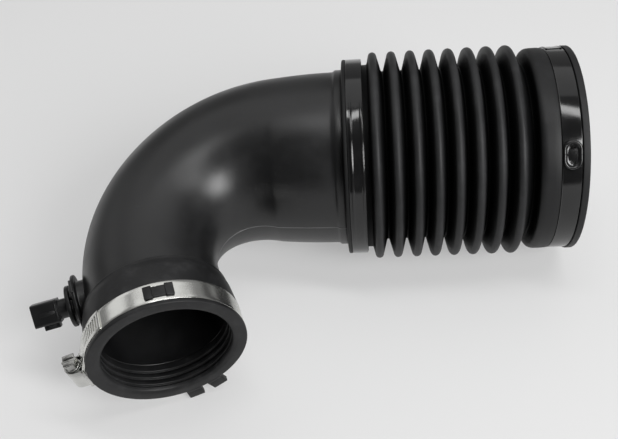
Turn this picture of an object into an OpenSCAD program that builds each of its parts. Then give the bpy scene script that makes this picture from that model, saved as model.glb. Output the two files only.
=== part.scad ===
// Cold air intake pipe: a tapered elbow duct with an eight-fold rubber bellows on one end and a
// rubber throttle cuff on the other, its three clamps, and an air temperature sensor.
// Millimetres. The origin is the middle of the air box bore and +X points out of that bore.
// +Z is up: the pipe lies on its folds and on the first lug of the throttle cuff.

/* [Bellows] */
// Outside diameter over the crests
crest_d = 130; // [124:1:136]
// Outside diameter at the bottom of a fold
valley_d = 106; // [102:1:112]
// Number of folds
fold_count = 8; // [3:1:12]
// Distance from one crest to the next
fold_pitch = 11.7; // [11:0.1:14]
// Radius of a crest's tip
crest_tip_r = 2.6; // [2.4:0.1:3]
// Radius at the bottom of a fold
fold_root_r = 0.8; // [0.6:0.1:1.2]
// Wall of the folds
bellows_wall = 2.2; // [1.6:0.1:2.3]
// Outside diameter of the neck beside the collar
neck_d = 115; // [113:0.5:117]
// Distance from the first crest to the collar
neck_l = 6.9; // [6:0.1:10]

/* [Air box cuff] */
// Bore that the air box spigot goes into
airbox_bore_d = 113; // [109:0.5:114]
// Depth of that bore
airbox_bore_l = 22.4; // [18:0.1:23.5]
// Outside diameter of the cuff
airbox_cuff_d = 125; // [122:0.5:128]
// Length of the cuff behind its band seat
airbox_cuff_l = 11.4; // [9:0.1:16]
// Diameter of the lip at the mouth
airbox_lip_d = 126; // [124:0.5:130]
// Thickness of that lip
airbox_lip_t = 4; // [2.5:0.1:6]
// Distance from the cuff's shoulder to the last crest
airbox_gap = 10.1; // [9.5:0.1:14]
// Width of the air box band
airbox_band_w = 11.2; // [8:0.1:13]
// Thickness of the air box band
airbox_band_t = 0.9; // [0.6:0.1:1.2]

/* [Collar] */
// Outside diameter of the rubber lip of the collar
collar_d = 122.6; // [121:0.2:125]
// Width of the collar
collar_w = 12.4; // [11.6:0.1:16]
// Width of the collar band
collar_band_w = 9.8; // [7:0.1:10.2]
// Thickness of the collar band
collar_band_t = 1; // [0.6:0.1:1.2]
// Width of the strap that laps over the collar band
collar_strap_w = 7.6; // [5:0.1:9]

/* [Elbow] */
// Outside diameter of the spigot under the collar
elbow_spigot_d = 108; // [105:0.5:109]
// Outside diameter of the straight end at the throttle cuff
elbow_end_d = 78; // [74:0.5:80]
// Wall of the elbow
elbow_wall = 2.8; // [2:0.1:3.4]
// Radius of the bend on its centre line
bend_r = 74; // [70:1:90]
// Angle that the bend turns through
bend_angle = 107.5; // [95:0.5:115]
// Straight length from the collar to the bend
run_in_l = 42; // [30:1:60]
// Straight length from the bend to the throttle mouth
run_out_l = 48; // [46:1:60]
// Length of the bead that the collar stops against
bead_l = 6; // [3:0.5:8]
// Height of that bead
bead_h = 1.2; // [0.6:0.1:2]
// Length of the spigot inside the collar
spigot_l = 13.6; // [11:0.1:14.4]

/* [Throttle cuff] */
// Bore at the sealing lands
throttle_bore_d = 71.6; // [68:0.2:73]
// Depth from the mouth to the end of the elbow
throttle_depth = 18; // [14:0.5:20]
// Length of the whole cuff
cuff_l = 35; // [32:0.5:40]
// Diameter of the lip at the mouth
cuff_lip_d = 89.2; // [88:0.2:92]
// Thickness of that lip
cuff_lip_t = 2.6; // [1.8:0.1:4]
// Diameter under the worm clamp
cuff_seat_d = 86.2; // [84:0.2:86.6]
// Diameter at the thin upper edge
cuff_edge_d = 82.2; // [81.6:0.2:84]
// Number of sealing lands
land_count = 4; // [2:1:5]
// Depth of the grooves between the lands
land_h = 1.2; // [0.6:0.1:1.6]
// How far the two lugs reach out from the cuff's axis
lug_reach = 51.5; // [48:0.5:54]
// Width of a lug
lug_w = 9.2; // [6:0.2:10]
// Thickness of a lug
lug_t = 3.2; // [2:0.1:5]

/* [Worm clamp] */
// Width of the band
band_w = 12; // [9:0.1:12.6]
// Thickness of the band
band_t = 0.8; // [0.6:0.05:1]
// Length of the housing
housing_l = 15; // [12:0.5:17]
// Thickness of the housing's sheet
housing_t = 0.8; // [0.6:0.05:1]
// Diameter of the screw over its thread
screw_d = 8; // [7:0.1:8.6]
// Pitch of the thread and of the slots in the band
screw_pitch = 2.2; // [2:0.1:3]
// Width of the hexagon head across its flats
hex_af = 8; // [7:0.5:8.2]

/* [Sensor] */
// Diameter of the boss flange on the elbow
boss_d = 34; // [28:0.5:36]
// Bore of the boss
boss_bore_d = 15; // [12:0.5:17]
// Diameter of the sensor's disc
disc_d = 24; // [20:0.5:27]
// Length of the connector shroud
shroud_l = 15; // [12:0.5:18]
// Height of the connector shroud
shroud_h = 11.4; // [10:0.2:13]
// Width of the connector shroud
shroud_w = 13.4; // [12:0.2:15]
// Wall of the connector shroud
shroud_wall = 1.2; // [0.9:0.1:1.5]
// Length of the probe inside the duct
probe_l = 18; // [12:0.5:22]

/* [Hidden] */
$fn = 96;

// Gap between a rubber piece or a band and what it is clamped on
seat_gap = 0.05;
// Radial gap of the worm screw in its bearings, and the gap round its thread and at its ends
journal_gap = 0.08;
thread_gap = 0.3;
// Gap between the housing's end walls and the screw's two shoulders
head_gap = 0.5;
// Overlap that joins two shapes of one solid
weld = 0.5;
// Least wall of the rubber under a band, and least gap between the spigot and the neck
least_wall = 2.5;
neck_clear = 0.5;

// Radii along the bellows
crest_r = crest_d / 2;
valley_r = valley_d / 2;
spigot_r = elbow_spigot_d / 2;
collar_bore_r = spigot_r + seat_gap;
neck_r = max(neck_d / 2, collar_bore_r + neck_clear + bellows_wall);
neck_bore_r = neck_r - bellows_wall;
airbox_cuff_r = airbox_cuff_d / 2;
airbox_lip_r = airbox_lip_d / 2;
airbox_seat_r = airbox_cuff_r - airbox_band_t - 0.3;
airbox_bore_r = min(airbox_bore_d / 2, airbox_seat_r - least_wall);
shoulder_r = min(4, max(weld, (airbox_cuff_r - valley_r) / 2));
band_play = 0.3;
airbox_seat_w = airbox_band_w + 2 * band_play;

// The origin is half way along the air box bore, this far behind the mouth
mouth_offset = airbox_bore_l / 2;

// Depths from the air box mouth, along the bellows
airbox_seat_end = airbox_lip_t + airbox_seat_w;
airbox_cuff_end = airbox_seat_end + airbox_cuff_l;
last_crest = airbox_cuff_end + airbox_gap;
first_crest = last_crest + (fold_count - 1) * fold_pitch;
collar_start = first_crest + neck_l;
collar_end = collar_start + collar_w;
collar_seat_end = collar_start + collar_band_w + band_play;
spigot_start = collar_end - spigot_l;

collar_r = max(collar_d / 2, collar_bore_r + least_wall + collar_band_t);
collar_seat_r = collar_r - collar_band_t;

// Slope of a fold's flank, from the two tip circles that it touches
crest_centre_r = crest_r - crest_tip_r;
root_centre_r = valley_r + fold_root_r;
flank_lean = atan2(fold_pitch / 2, crest_centre_r - root_centre_r);
flank_reach = norm([fold_pitch / 2, crest_centre_r - root_centre_r]);
flank_angle = flank_lean - asin((crest_tip_r + fold_root_r) / flank_reach);
tip_steps = 5;

// The bend: from the collar along -X, then round towards -Y in the bend's own plane
mouth_angle = 180 - bend_angle;
bend_tangent = bend_r * tan(bend_angle / 2);
bend_start = collar_end + run_in_l;
corner_x = -(bend_start + bend_tangent);
mouth_reach = bend_tangent + run_out_l;
mouth_x = corner_x + mouth_reach * cos(mouth_angle);
mouth_y = -mouth_reach * sin(mouth_angle);

// Radii of the elbow
elbow_end_r = elbow_end_d / 2;
cuff_bore_r = elbow_end_r + seat_gap;
bead_r = spigot_r + bead_h;
loft_steps = 22;
loft_sides = 44;

// Radii and depths of the throttle cuff
throttle_bore_r = throttle_bore_d / 2;
cuff_lip_r = cuff_lip_d / 2;
cuff_seat_r = cuff_seat_d / 2;
cuff_edge_r = cuff_edge_d / 2;
cuff_seat_end = cuff_lip_t + band_w + 2 * band_play;
land_pitch = throttle_depth / land_count;
groove_w = 1.3;

// Places round the throttle cuff, from the inner side of the bend and up
tab_at = 83;
tab_w = 14;
tab_l = 7.6;
tab_play = 0.4;
clamp_at = 187;
lug_at = [278.3, 295.7];

// Places round the bellows, from the top towards +Y: the straps' two ends and the closure.
// A strap is sunk this far into the band below it.
collar_strap_at = [252, 341];
airbox_lap_at = [23, 80];
ear_at = 306;
strap_sink = 0.2;

// The bend's plane is dropped until the first lug and the folds stand on one floor
rest_r = max(crest_r, airbox_lip_r, collar_r);
lug_corner = [lug_reach * cos(lug_at[0]) - lug_w / 2 * abs(sin(lug_at[0])),
              lug_reach * sin(lug_at[0]) - lug_w / 2 * abs(cos(lug_at[0]))];
drop_arm = -mouth_y - lug_corner[0] * cos(mouth_angle);
bend_drop = atan2(drop_arm, -lug_corner[1]) - acos(rest_r / norm([drop_arm, lug_corner[1]]));

// Levels of the worm clamp, out from the cuff's axis
band_bore_r = cuff_seat_r + seat_gap;
flat_level = band_bore_r + 1.4;
flat_half = housing_l / 2;
strip_top = flat_level + 2 * band_t;
screw_r = screw_d / 2;
screw_level = strip_top + thread_gap + screw_r;
dome_r = screw_r + thread_gap;
journal_r = 2.9;
tail_end = 58;
band_mid = cuff_lip_t + band_play + band_w / 2;
slot_l = band_w - 4.6;
slot_w = screw_pitch * 0.45;

// Levels of the sensor, out from the elbow's centre line. Its boss stands clear of the cuff.
boss_flange_t = 1.9;
boss_foot_r = boss_d / 2 - 4;
boss_clear = 0.4;
sensor_back = cuff_l + boss_foot_r + 2;
boss_top = cuff_edge_r + boss_clear + boss_flange_t;
barrel_r = boss_bore_d / 2 - 0.3;
collar_t = 2.6;
disc_t = 2.4;
disc_r = disc_d / 2;
disc_top = boss_top + collar_t + disc_t;
stem_l = 5.6;
shroud_base = disc_top + stem_l;
shroud_end = shroud_base + shroud_l;
socket_l = 12;
probe_r = 4.4;
probe_tip = elbow_end_r - elbow_wall - probe_l;
seal_r = 1;
seal_level = boss_top - 3;
terminal_gap = 2.6;

// Places a shape drawn along +Z with its axis along the bellows, depths going inwards
module along_bellows() {
    translate([mouth_offset, 0, 0])
        rotate([0, -90, 0])
            children();
}

// Places a shape drawn in the bend's own plane: x along the bellows, -y towards the cuff
module in_bend() {
    translate([mouth_offset, 0, 0])
        rotate([bend_drop, 0, 0])
            children();
}

// Places a shape drawn at the throttle mouth: z out of the mouth, x to the inner side of the
// bend, y up out of the bend's plane
module at_mouth() {
    in_bend()
        translate([mouth_x, mouth_y, 0])
            rotate([0, 0, -mouth_angle])
                rotate([90, 0, 90])
                    children();
}

// Places a shape drawn along +Z as the sensor lies, from the elbow's centre line outwards
module at_sensor() {
    at_mouth()
        translate([0, 0, -sensor_back])
            rotate([0, -90, 0])
                rotate([0, 0, 45])
                    children();
}

// Keeps what lies between two angles round the Z axis, less than half a turn apart
module sector(from, to, reach, low, high) {
    translate([0, 0, low])
        linear_extrude(high - low)
            polygon([[0, 0],
                     for (k = [0:4]) let (a = from + (to - from) * k / 4)
                         reach * [cos(a), sin(a)] / cos((to - from) / 8)]);
}

// Points of one crest, seen along the axis: radius, depth
function crest_arc(depth, tip, dir) =
    [for (k = [0:tip_steps]) let (a = dir * (90 - flank_angle) * (2 * k / tip_steps - 1))
        [crest_centre_r + tip * cos(a), depth + tip * sin(a)]];

// Points of the root between two crests
function root_arc(depth, root, dir) =
    [for (k = [0:tip_steps]) let (a = dir * (90 - flank_angle) * (1 - 2 * k / tip_steps))
        [root_centre_r - root * cos(a), depth - root * sin(a)]];

// One side of all the folds, going inwards (dir 1) or outwards (dir -1)
function fold_line(tip, root, dir) =
    let (order = dir > 0 ? [0:fold_count - 1] : [fold_count - 1:-1:0])
    [for (k = order)
        let (crest = last_crest + k * fold_pitch,
             is_end = dir > 0 ? k == fold_count - 1 : k == 0)
        each concat(crest_arc(crest, tip, dir),
                    is_end ? [] : root_arc(crest + dir * fold_pitch / 2, root, dir))];

// Depth at which a flank of the last fold meets a given radius
function flank_depth(crest, tip, radius, dir) =
    crest + dir * (tip * sin(90 - flank_angle)
                   + (crest_centre_r + tip * cos(90 - flank_angle) - radius) * tan(flank_angle));

// Quarter turn between two directions, as points
function round_corner(centre, radius, from, to) =
    [for (k = [0:5]) let (a = from + (to - from) * k / 5)
        centre + radius * [cos(a), sin(a)]];

module bellows() {
    inner_tip = crest_tip_r - bellows_wall;
    inner_root = fold_root_r + bellows_wall;
    valley_bore_r = valley_r - bellows_wall;
    // Where the last flank meets the neck, outside and inside. A neck wider than the folds rises.
    neck_rises = neck_bore_r > crest_centre_r;
    last_out = flank_depth(first_crest, crest_tip_r, neck_r, 1);
    last_in = flank_depth(first_crest, inner_tip, neck_bore_r, 1);
    flank_end = collar_start - 1.5;
    neck_out = max(min(last_out, flank_end), first_crest + crest_tip_r);
    neck_in = neck_rises ? neck_out + 0.8 * bellows_wall : min(last_in, flank_end - 0.75 * bellows_wall);
    outer = concat(
        [[airbox_bore_r + 1, 0]],
        round_corner([airbox_lip_r - 1, 1], 1, -90, 0),
        [[airbox_lip_r, airbox_lip_t - 0.6],
         [airbox_lip_r - 0.6, airbox_lip_t],
         [airbox_seat_r, airbox_lip_t],
         [airbox_seat_r, airbox_seat_end],
         [airbox_cuff_r - 0.7, airbox_seat_end],
         [airbox_cuff_r, airbox_seat_end + 2.4]],
        round_corner([airbox_cuff_r - shoulder_r, airbox_cuff_end - shoulder_r], shoulder_r, 0, 90),
        [[valley_r + 1.6, airbox_cuff_end],
         [valley_r, airbox_cuff_end + 1],
         [valley_r, flank_depth(last_crest, crest_tip_r, valley_r, -1)]],
        fold_line(crest_tip_r, fold_root_r, 1),
        [[neck_r, neck_out],
         [neck_r, collar_start],
         [collar_seat_r, collar_start],
         [collar_seat_r, collar_seat_end],
         [collar_r, collar_seat_end]],
        round_corner([collar_r - 1.9, collar_end - 1.9], 1.9, 0, 90));
    inner = concat(
        [[collar_bore_r + 0.6, collar_end],
         [collar_bore_r, collar_end - 0.6],
         [collar_bore_r, spigot_start - 0.6],
         [neck_bore_r, spigot_start - 0.6],
         [neck_bore_r, neck_in]],
        neck_rises ? [[crest_centre_r, neck_in]] : [],
        fold_line(inner_tip, inner_root, -1),
        [[valley_bore_r, flank_depth(last_crest, inner_tip, valley_bore_r, -1)],
         [valley_bore_r, airbox_bore_l],
         [airbox_bore_r, airbox_bore_l],
         [airbox_bore_r, 1]]);
    color("#2b2d2e")
        along_bellows()
            rotate_extrude()
                polygon(concat(outer, inner));
}

// Centre line of the elbow at a share of the tapered part: point, heading in the bend's plane
taper_start = collar_end + bead_l - 1;
lead_l = bend_start - taper_start;
arc_l = bend_r * bend_angle * PI / 180;
tail_l = run_out_l - cuff_l;
taper_l = lead_l + arc_l + tail_l;

function line_point(run) =
    run <= lead_l ? [-(taper_start + run), 0]
    : run <= lead_l + arc_l ?
        let (turn = (run - lead_l) / bend_r * 180 / PI)
        [-(bend_start + bend_r * sin(turn)), -bend_r * (1 - cos(turn))]
    : let (rest = lead_l + arc_l + tail_l - run + cuff_l)
        [mouth_x - rest * cos(mouth_angle), mouth_y + rest * sin(mouth_angle)];

function line_turn(run) =
    min(max((run - lead_l) / bend_r * 180 / PI, 0), bend_angle);

// Radius of the elbow: a smooth swell from the cuff end up to the spigot
function taper_r(run) =
    let (share = min(max(run / (taper_l * 0.86), 0), 1))
    elbow_end_r + (spigot_r - elbow_end_r) * (1 + cos(180 * share)) / 2;

// One cross section of the elbow, at a place along its centre line
function bend_ring(run, radius) =
    let (turn = line_turn(run), at = line_point(run))
    [for (k = [0:loft_sides - 1])
        let (a = 360 * k / loft_sides)
        [at[0] - radius * cos(a) * sin(turn),
         at[1] + radius * cos(a) * cos(turn),
         radius * sin(a)]];

// The moulded shell: outer sections from the spigot to the cuff, then inner sections back again
module bend_shell() {
    sides = loft_sides;
    spigot_run = spigot_start - taper_start;
    bead_run = collar_end + 0.1 - taper_start;
    end_run = taper_l + cuff_l - throttle_depth;
    taper_runs = [for (k = [1:loft_steps]) taper_l * k / loft_steps];
    outer = concat(
        [[spigot_run, spigot_r - 0.8],
         [spigot_run + 1.2, spigot_r],
         [bead_run, spigot_r],
         [bead_run, bead_r],
         [bead_run + bead_l - 1.3, bead_r],
         [bead_run + bead_l, taper_r(0)]],
        [for (run = taper_runs) if (run > bead_run + bead_l) [run, taper_r(run)]],
        [[end_run - 1, elbow_end_r], [end_run, elbow_end_r - 0.6]]);
    inner = concat(
        [[end_run, elbow_end_r - elbow_wall]],
        [for (k = [loft_steps - 1:-1:0]) [taper_runs[k], taper_r(taper_runs[k]) - elbow_wall]],
        [[spigot_run, spigot_r - elbow_wall]]);
    stations = concat(outer, inner);
    count = len(stations);
    polyhedron(
        points = [for (at = stations) each bend_ring(at[0], at[1])],
        faces = [for (j = [0:count - 1], k = [0:sides - 1])
            let (here = j * sides, next = ((j + 1) % count) * sides)
            [here + k, here + (k + 1) % sides, next + (k + 1) % sides, next + k]]);
}

module elbow_duct() {
    foot_level = max(sqrt(pow(elbow_end_r, 2) - pow(boss_foot_r, 2)) - 0.3, elbow_end_r - elbow_wall + 0.2);
    color("#303234")
        in_bend()
            difference() {
                union() {
                    bend_shell();
                    at_boss() {
                        translate([0, 0, foot_level])
                            cylinder(h = boss_top - foot_level - boss_flange_t / 2, r = boss_foot_r);
                        translate([0, 0, boss_top - boss_flange_t])
                            cylinder(h = boss_flange_t, d = boss_d);
                    }
                }
                at_boss()
                    cylinder(h = boss_top + 1, d = boss_bore_d);
            }
}

// The sensor's place in the bend's own plane
module at_boss() {
    translate([mouth_x, mouth_y, 0])
        rotate([0, 0, -mouth_angle])
            rotate([90, 0, 90])
                translate([0, 0, -sensor_back])
                    rotate([0, -90, 0])
                        children();
}

module throttle_cuff() {
    outer = concat(
        round_corner([cuff_lip_r - 0.6, -0.6], 0.6, 90, 0),
        [[cuff_lip_r, 0.5 - cuff_lip_t],
         [cuff_lip_r - 0.5, -cuff_lip_t],
         [cuff_seat_r, -cuff_lip_t],
         [cuff_seat_r, -cuff_seat_end],
         [cuff_seat_r + 0.6, -cuff_seat_end],
         [cuff_edge_r + 1.2, 6 - cuff_l],
         [cuff_edge_r, 1.2 - cuff_l]],
        round_corner([cuff_edge_r - 0.8, 0.8 - cuff_l], 0.8, 0, -90),
        [[cuff_bore_r, -cuff_l],
         [cuff_bore_r, seat_gap - throttle_depth]]);
    groove_r = throttle_bore_r + land_h;
    lands = [for (k = [land_count - 1:-1:0])
        let (inner_end = -(k + 1) * land_pitch,
             inner = k == land_count - 1
                 ? [[throttle_bore_r + 0.4, inner_end + seat_gap],
                    [throttle_bore_r, inner_end + seat_gap + 0.4]]
                 : [[groove_r, inner_end],
                    [groove_r, inner_end + groove_w],
                    [throttle_bore_r, inner_end + groove_w + 0.4]],
             mouth = k == 0
                 ? [[throttle_bore_r, -0.8], [throttle_bore_r + 0.8, 0]]
                 : [[throttle_bore_r, -k * land_pitch]])
        each concat(inner, mouth)];
    color("#232425")
        at_mouth()
            union() {
                rotate_extrude()
                    polygon(concat(outer, lands));
                lock_tab(cuff_seat_r - weld, band_bore_r + band_t + 0.9, 0);
                for (at = lug_at)
                    rotate([0, 0, at])
                        lug();
            }
}

// A lug at the mouth: as thick as the lip beside the band, and full outside the band
module lug() {
    beside_band = band_bore_r + 2 * band_t + band_play;
    translate([cuff_seat_r - weld, -lug_w / 2, -cuff_lip_t])
        cube([lug_reach - cuff_seat_r + weld, lug_w, cuff_lip_t]);
    translate([beside_band, -lug_w / 2, -lug_t])
        cube([lug_reach - beside_band, lug_w, lug_t]);
}

// The tab that holds the band in place, or with play the window that it comes through
module lock_tab(from_r, to_r, play) {
    half_angle = (tab_w / 2 + play) / band_bore_r * 180 / PI;
    intersection() {
        difference() {
            translate([0, 0, -band_mid - tab_l / 2 - play])
                cylinder(h = tab_l + 2 * play, r = to_r);
            translate([0, 0, -band_mid - tab_l])
                cylinder(h = 2 * tab_l, r = from_r);
        }
        sector(tab_at - half_angle, tab_at + half_angle, 2 * to_r, -band_mid - tab_l, tab_l - band_mid);
    }
}

// A closed line round the cuff at one level of the band: a circle with a flat at the housing
module band_line(level) {
    radius = band_bore_r + level;
    flat = flat_level + level;
    corner_angle = atan2(flat_half, flat);
    leave = corner_angle + acos(radius / norm([flat_half, flat]));
    circle(r = radius);
    polygon([[0, 0],
             radius * [cos(leave), sin(leave)],
             [flat, flat_half],
             [flat, -flat_half],
             radius * [cos(leave), -sin(leave)]]);
}

module cuff_band() {
    slot_step = screw_pitch / (band_bore_r + band_t) * 180 / PI;
    color("#c9c9c4")
        at_mouth()
            translate([0, 0, -band_mid - band_w / 2])
                rotate([0, 0, clamp_at])
                    difference() {
                        union() {
                            linear_extrude(band_w)
                                difference() {
                                    band_line(band_t);
                                    band_line(0);
                                }
                            intersection() {
                                linear_extrude(band_w)
                                    difference() {
                                        band_line(2 * band_t);
                                        band_line(band_t);
                                    }
                                sector(-tail_end, 8, 2 * screw_level, -1, band_w + 1);
                            }
                        }
                        rotate([0, 0, -clamp_at])
                            translate([0, 0, band_mid + band_w / 2])
                                lock_tab(band_bore_r - 1, band_bore_r + band_t + 1, tab_play);
                        for (k = [0:11])
                            rotate([0, 0, 30 + k * slot_step])
                                translate([band_bore_r - 1, -slot_w / 2, (band_w - slot_l) / 2])
                                    cube([band_t + 2, slot_w, slot_l]);
                        for (k = [0:6])
                            rotate([0, 0, 4 - tail_end + k * slot_step])
                                translate([band_bore_r + band_t, -slot_w / 2, (band_w - slot_l) / 2])
                                    cube([band_t + 1, slot_w, slot_l]);
                    }
}

// Places a shape at the middle of the clamp: x out from the cuff, y towards the screw's head
module at_clamp() {
    at_mouth()
        rotate([0, 0, clamp_at])
            translate([0, 0, -band_mid])
                rotate([180, 0, 0])
                    children();
}

module worm_saddle() {
    color("#b9b9b4")
        at_clamp()
            translate([flat_level - seat_gap - 1.1, -flat_half + 0.5, -band_w / 2 + 0.4])
                cube([1.1, housing_l - 1, band_w - 0.8]);
}

// Cross section of the housing, out from the cuff along x and across the band along y
module housing_section(skin) {
    hood = dome_r + skin;
    side = band_w / 2 + seat_gap + skin;
    translate([screw_level, 0])
        circle(r = hood);
    translate([flat_level + 0.3, -hood])
        square([screw_level - flat_level - 0.3, 2 * hood]);
    translate([flat_level + 0.3, -side])
        square([strip_top + seat_gap + skin - flat_level - 0.3, 2 * side]);
}

module worm_housing() {
    bearing_r = journal_r + journal_gap;
    color("#d2d2cd")
        at_clamp()
            difference() {
                translate([0, housing_l / 2, 0])
                    rotate([90, 0, 0])
                        linear_extrude(housing_l)
                            difference() {
                                housing_section(housing_t);
                                translate([-0.5, 0]) square([1, 1]);
                            }
                translate([0, housing_l / 2 - housing_t, 0])
                    rotate([90, 0, 0])
                        linear_extrude(housing_l - 2 * housing_t)
                            housing_section(0);
                translate([flat_level - 1, -housing_l, -band_w / 2 - seat_gap])
                    cube([strip_top + seat_gap - flat_level + 1, 2 * housing_l, band_w + 2 * seat_gap]);
                translate([screw_level, housing_l, 0])
                    rotate([90, 0, 0])
                        cylinder(h = 2 * housing_l, r = bearing_r);
            }
}

// The worm turns on two journals in the housing's end walls. Its thread is a row of rings here.
module worm_screw() {
    thread_half = housing_l / 2 - housing_t - thread_gap;
    head_base = housing_l / 2 + head_gap;
    flange_t = 1;
    hex_h = 4.4;
    ring_count = floor(2 * thread_half / screw_pitch);
    root_r = screw_r - 1.1;
    color("#bdbdb6")
        at_clamp()
            translate([screw_level, 0, 0])
                rotate([-90, 0, 0])
                    difference() {
                        union() {
                            translate([0, 0, -thread_half])
                                cylinder(h = 2 * thread_half, r = root_r);
                            for (k = [0:ring_count - 1])
                                translate([0, 0, (k - (ring_count - 1) / 2) * screw_pitch])
                                    worm_ring(root_r);
                            translate([0, 0, -head_base - 0.9])
                                cylinder(h = 2 * head_base + 0.9 + weld, r = journal_r);
                            translate([0, 0, -head_base - 0.9])
                                cylinder(h = 0.9, r = journal_r + 0.7);
                            translate([0, 0, head_base])
                                cylinder(h = flange_t, r = screw_r + thread_gap);
                            translate([0, 0, head_base + flange_t - 0.1])
                                cylinder(h = hex_h, d = hex_af / cos(30), $fn = 6);
                        }
                        translate([-hex_af, -0.6, head_base + flange_t + hex_h - 1.5])
                            cube([2 * hex_af, 1.2, 2]);
                    }
}

module worm_ring(root_r) {
    rotate_extrude()
        polygon([[root_r - 0.4, -0.75], [root_r, -0.75], [screw_r, -0.35],
                 [screw_r, 0.35], [root_r, 0.75], [root_r - 0.4, 0.75]]);
}

// A crimped band of the bellows: a ring, drawn along +Z from 0
module crimp_ring(inner_r, thick, wide) {
    rotate_extrude()
        polygon([[inner_r, 0.3],
                 [inner_r + thick - 0.35, 0],
                 [inner_r + thick, 0.35],
                 [inner_r + thick, wide - 0.35],
                 [inner_r + thick - 0.35, wide],
                 [inner_r, wide - 0.3]]);
}

// A second layer of a crimped band that laps over the first between two angles
module lap_strap(inner_r, thick, wide, span) {
    intersection() {
        difference() {
            cylinder(h = wide, r = inner_r + thick);
            translate([0, 0, -1]) cylinder(h = wide + 2, r = inner_r);
        }
        sector(span[0], span[1], 2 * inner_r, -1, wide + 1);
    }
}

module elbow_end_clamp() {
    band_r = collar_seat_r + seat_gap;
    color("#1c1d1e")
        along_bellows()
            translate([0, 0, collar_start + band_play / 2])
                union() {
                    crimp_ring(band_r, collar_band_t, collar_band_w);
                    translate([0, 0, (collar_band_w - collar_strap_w) / 2 - 0.6])
                        lap_strap(band_r + collar_band_t - strap_sink, 0.8, collar_strap_w, collar_strap_at);
                }
}

module airbox_end_clamp() {
    band_r = airbox_seat_r + seat_gap;
    color("#1c1d1e")
        along_bellows()
            translate([0, 0, airbox_lip_t + band_play])
                union() {
                    crimp_ring(band_r, airbox_band_t, airbox_band_w);
                    translate([0, 0, 0.6])
                        lap_strap(band_r + airbox_band_t - strap_sink, 0.7, airbox_band_w - 1.2, airbox_lap_at);
                    rotate([0, 0, ear_at])
                        crimp_ear(band_r + airbox_band_t);
                }
}

// The pinched closure of the air box band: a raised pad with a groove along its middle
module crimp_ear(base_r) {
    ear_l = 16.4;
    ear_h = 1.5;
    pinch_w = 2.6;
    ear_w = airbox_band_w - 0.8;
    translate([base_r - 0.6, 0, airbox_band_w / 2])
        rotate([0, 90, 0])
            difference() {
                linear_extrude(ear_h + 0.6)
                    union() {
                        square([ear_w, ear_l - ear_w], center = true);
                        for (side = [-1, 1])
                            translate([0, side * (ear_l - ear_w) / 2]) circle(d = ear_w);
                    }
                translate([-pinch_w / 2, -ear_l / 2 + 2.2, 0.9])
                    cube([pinch_w, ear_l - 4.4, ear_h + 1]);
            }
}

module sensor_body() {
    color("#26282a")
        at_sensor()
            difference() {
                union() {
                    translate([0, 0, probe_tip])
                        cylinder(h = seal_level - 1.4 - probe_tip, r = probe_r);
                    translate([0, 0, seal_level - 1.4])
                        cylinder(h = boss_top + collar_t - seal_level + 1.4 - 0.1, r = barrel_r);
                    translate([0, 0, boss_top + seat_gap])
                        cylinder(h = collar_t, r = barrel_r + 1.8);
                    for (side = [0, 180])
                        rotate([0, 0, 45 + side])
                            translate([barrel_r, -2.6, boss_top + seat_gap])
                                cube([3.6, 5.2, collar_t]);
                    translate([0, 0, boss_top + collar_t])
                        cylinder(h = disc_t, r = disc_r);
                    translate([0, 0, disc_top - 0.1])
                        cylinder(h = stem_l + 0.2, r = shroud_h / 2);
                    translate([0, 0, shroud_base])
                        linear_extrude(shroud_l)
                            offset(r = 1.6)
                                square([shroud_h - 3.2, shroud_w - 3.2], center = true);
                    latch_ramp();
                }
                translate([0, 0, shroud_end - socket_l])
                    linear_extrude(socket_l + 1)
                        offset(r = 0.8)
                            square([shroud_h - 2 * shroud_wall - 1.6, shroud_w - 2 * shroud_wall - 1.6], center = true);
                seal_groove();
                probe_windows();
            }
}

// The catch under the shroud that the plug's latch snaps over
module latch_ramp() {
    ramp_w = 6.4;
    ramp_h = 2.8;
    ramp_l = 9;
    translate([0, 0, shroud_end - ramp_l - 4.6])
        difference() {
            translate([-ramp_w / 2, -shroud_w / 2 - ramp_h, 0])
                cube([ramp_w, ramp_h + weld, ramp_l]);
            translate([-ramp_w / 2 - 1, -shroud_w / 2 - ramp_h - 1, ramp_l])
                rotate([30, 0, 0])
                    cube([ramp_w + 2, 3, 6]);
            translate([-ramp_w / 2 + 1.2, -shroud_w / 2 - ramp_h - 1, 2])
                cube([ramp_w - 2.4, ramp_h, 3.4]);
        }
}

// The groove round the barrel that holds the ring seal
module seal_groove() {
    translate([0, 0, seal_level])
        rotate_extrude()
            translate([barrel_r + 0.4, 0])
                square([2 * 1.4, 2 * seal_r], center = true);
}

// The open windows of the probe's cage and the hollow that holds the thermistor
module probe_windows() {
    window_l = probe_l * 0.62;
    translate([0, 0, probe_tip + 2]) {
        cylinder(h = window_l, r = probe_r - 1.2);
        for (turn = [0, 90])
            rotate([0, 0, turn])
                translate([-probe_r - 1, -1.5, 0])
                    cube([2 * probe_r + 2, 3, window_l]);
    }
}

module sensor_seal() {
    seal_inner = barrel_r - 1 + seat_gap;
    color("#4a2f27")
        at_sensor()
            translate([0, 0, seal_level])
                rotate_extrude()
                    translate([(seal_inner + boss_bore_d / 2 - seat_gap) / 2, 0])
                        circle(r = (boss_bore_d / 2 - seat_gap - seal_inner) / 2, $fn = 32);
}

module sensor_thermistor() {
    lead_top = probe_tip + 2 + probe_l * 0.62;
    color("#7b3f1d")
        at_sensor()
            union() {
                translate([0, 0, probe_tip + 6])
                    sphere(r = 1.5, $fn = 32);
                for (side = [-1, 1])
                    translate([side * 0.8, 0, probe_tip + 6])
                        cylinder(h = lead_top - probe_tip - 6, r = 0.3, $fn = 24);
            }
}

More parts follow.
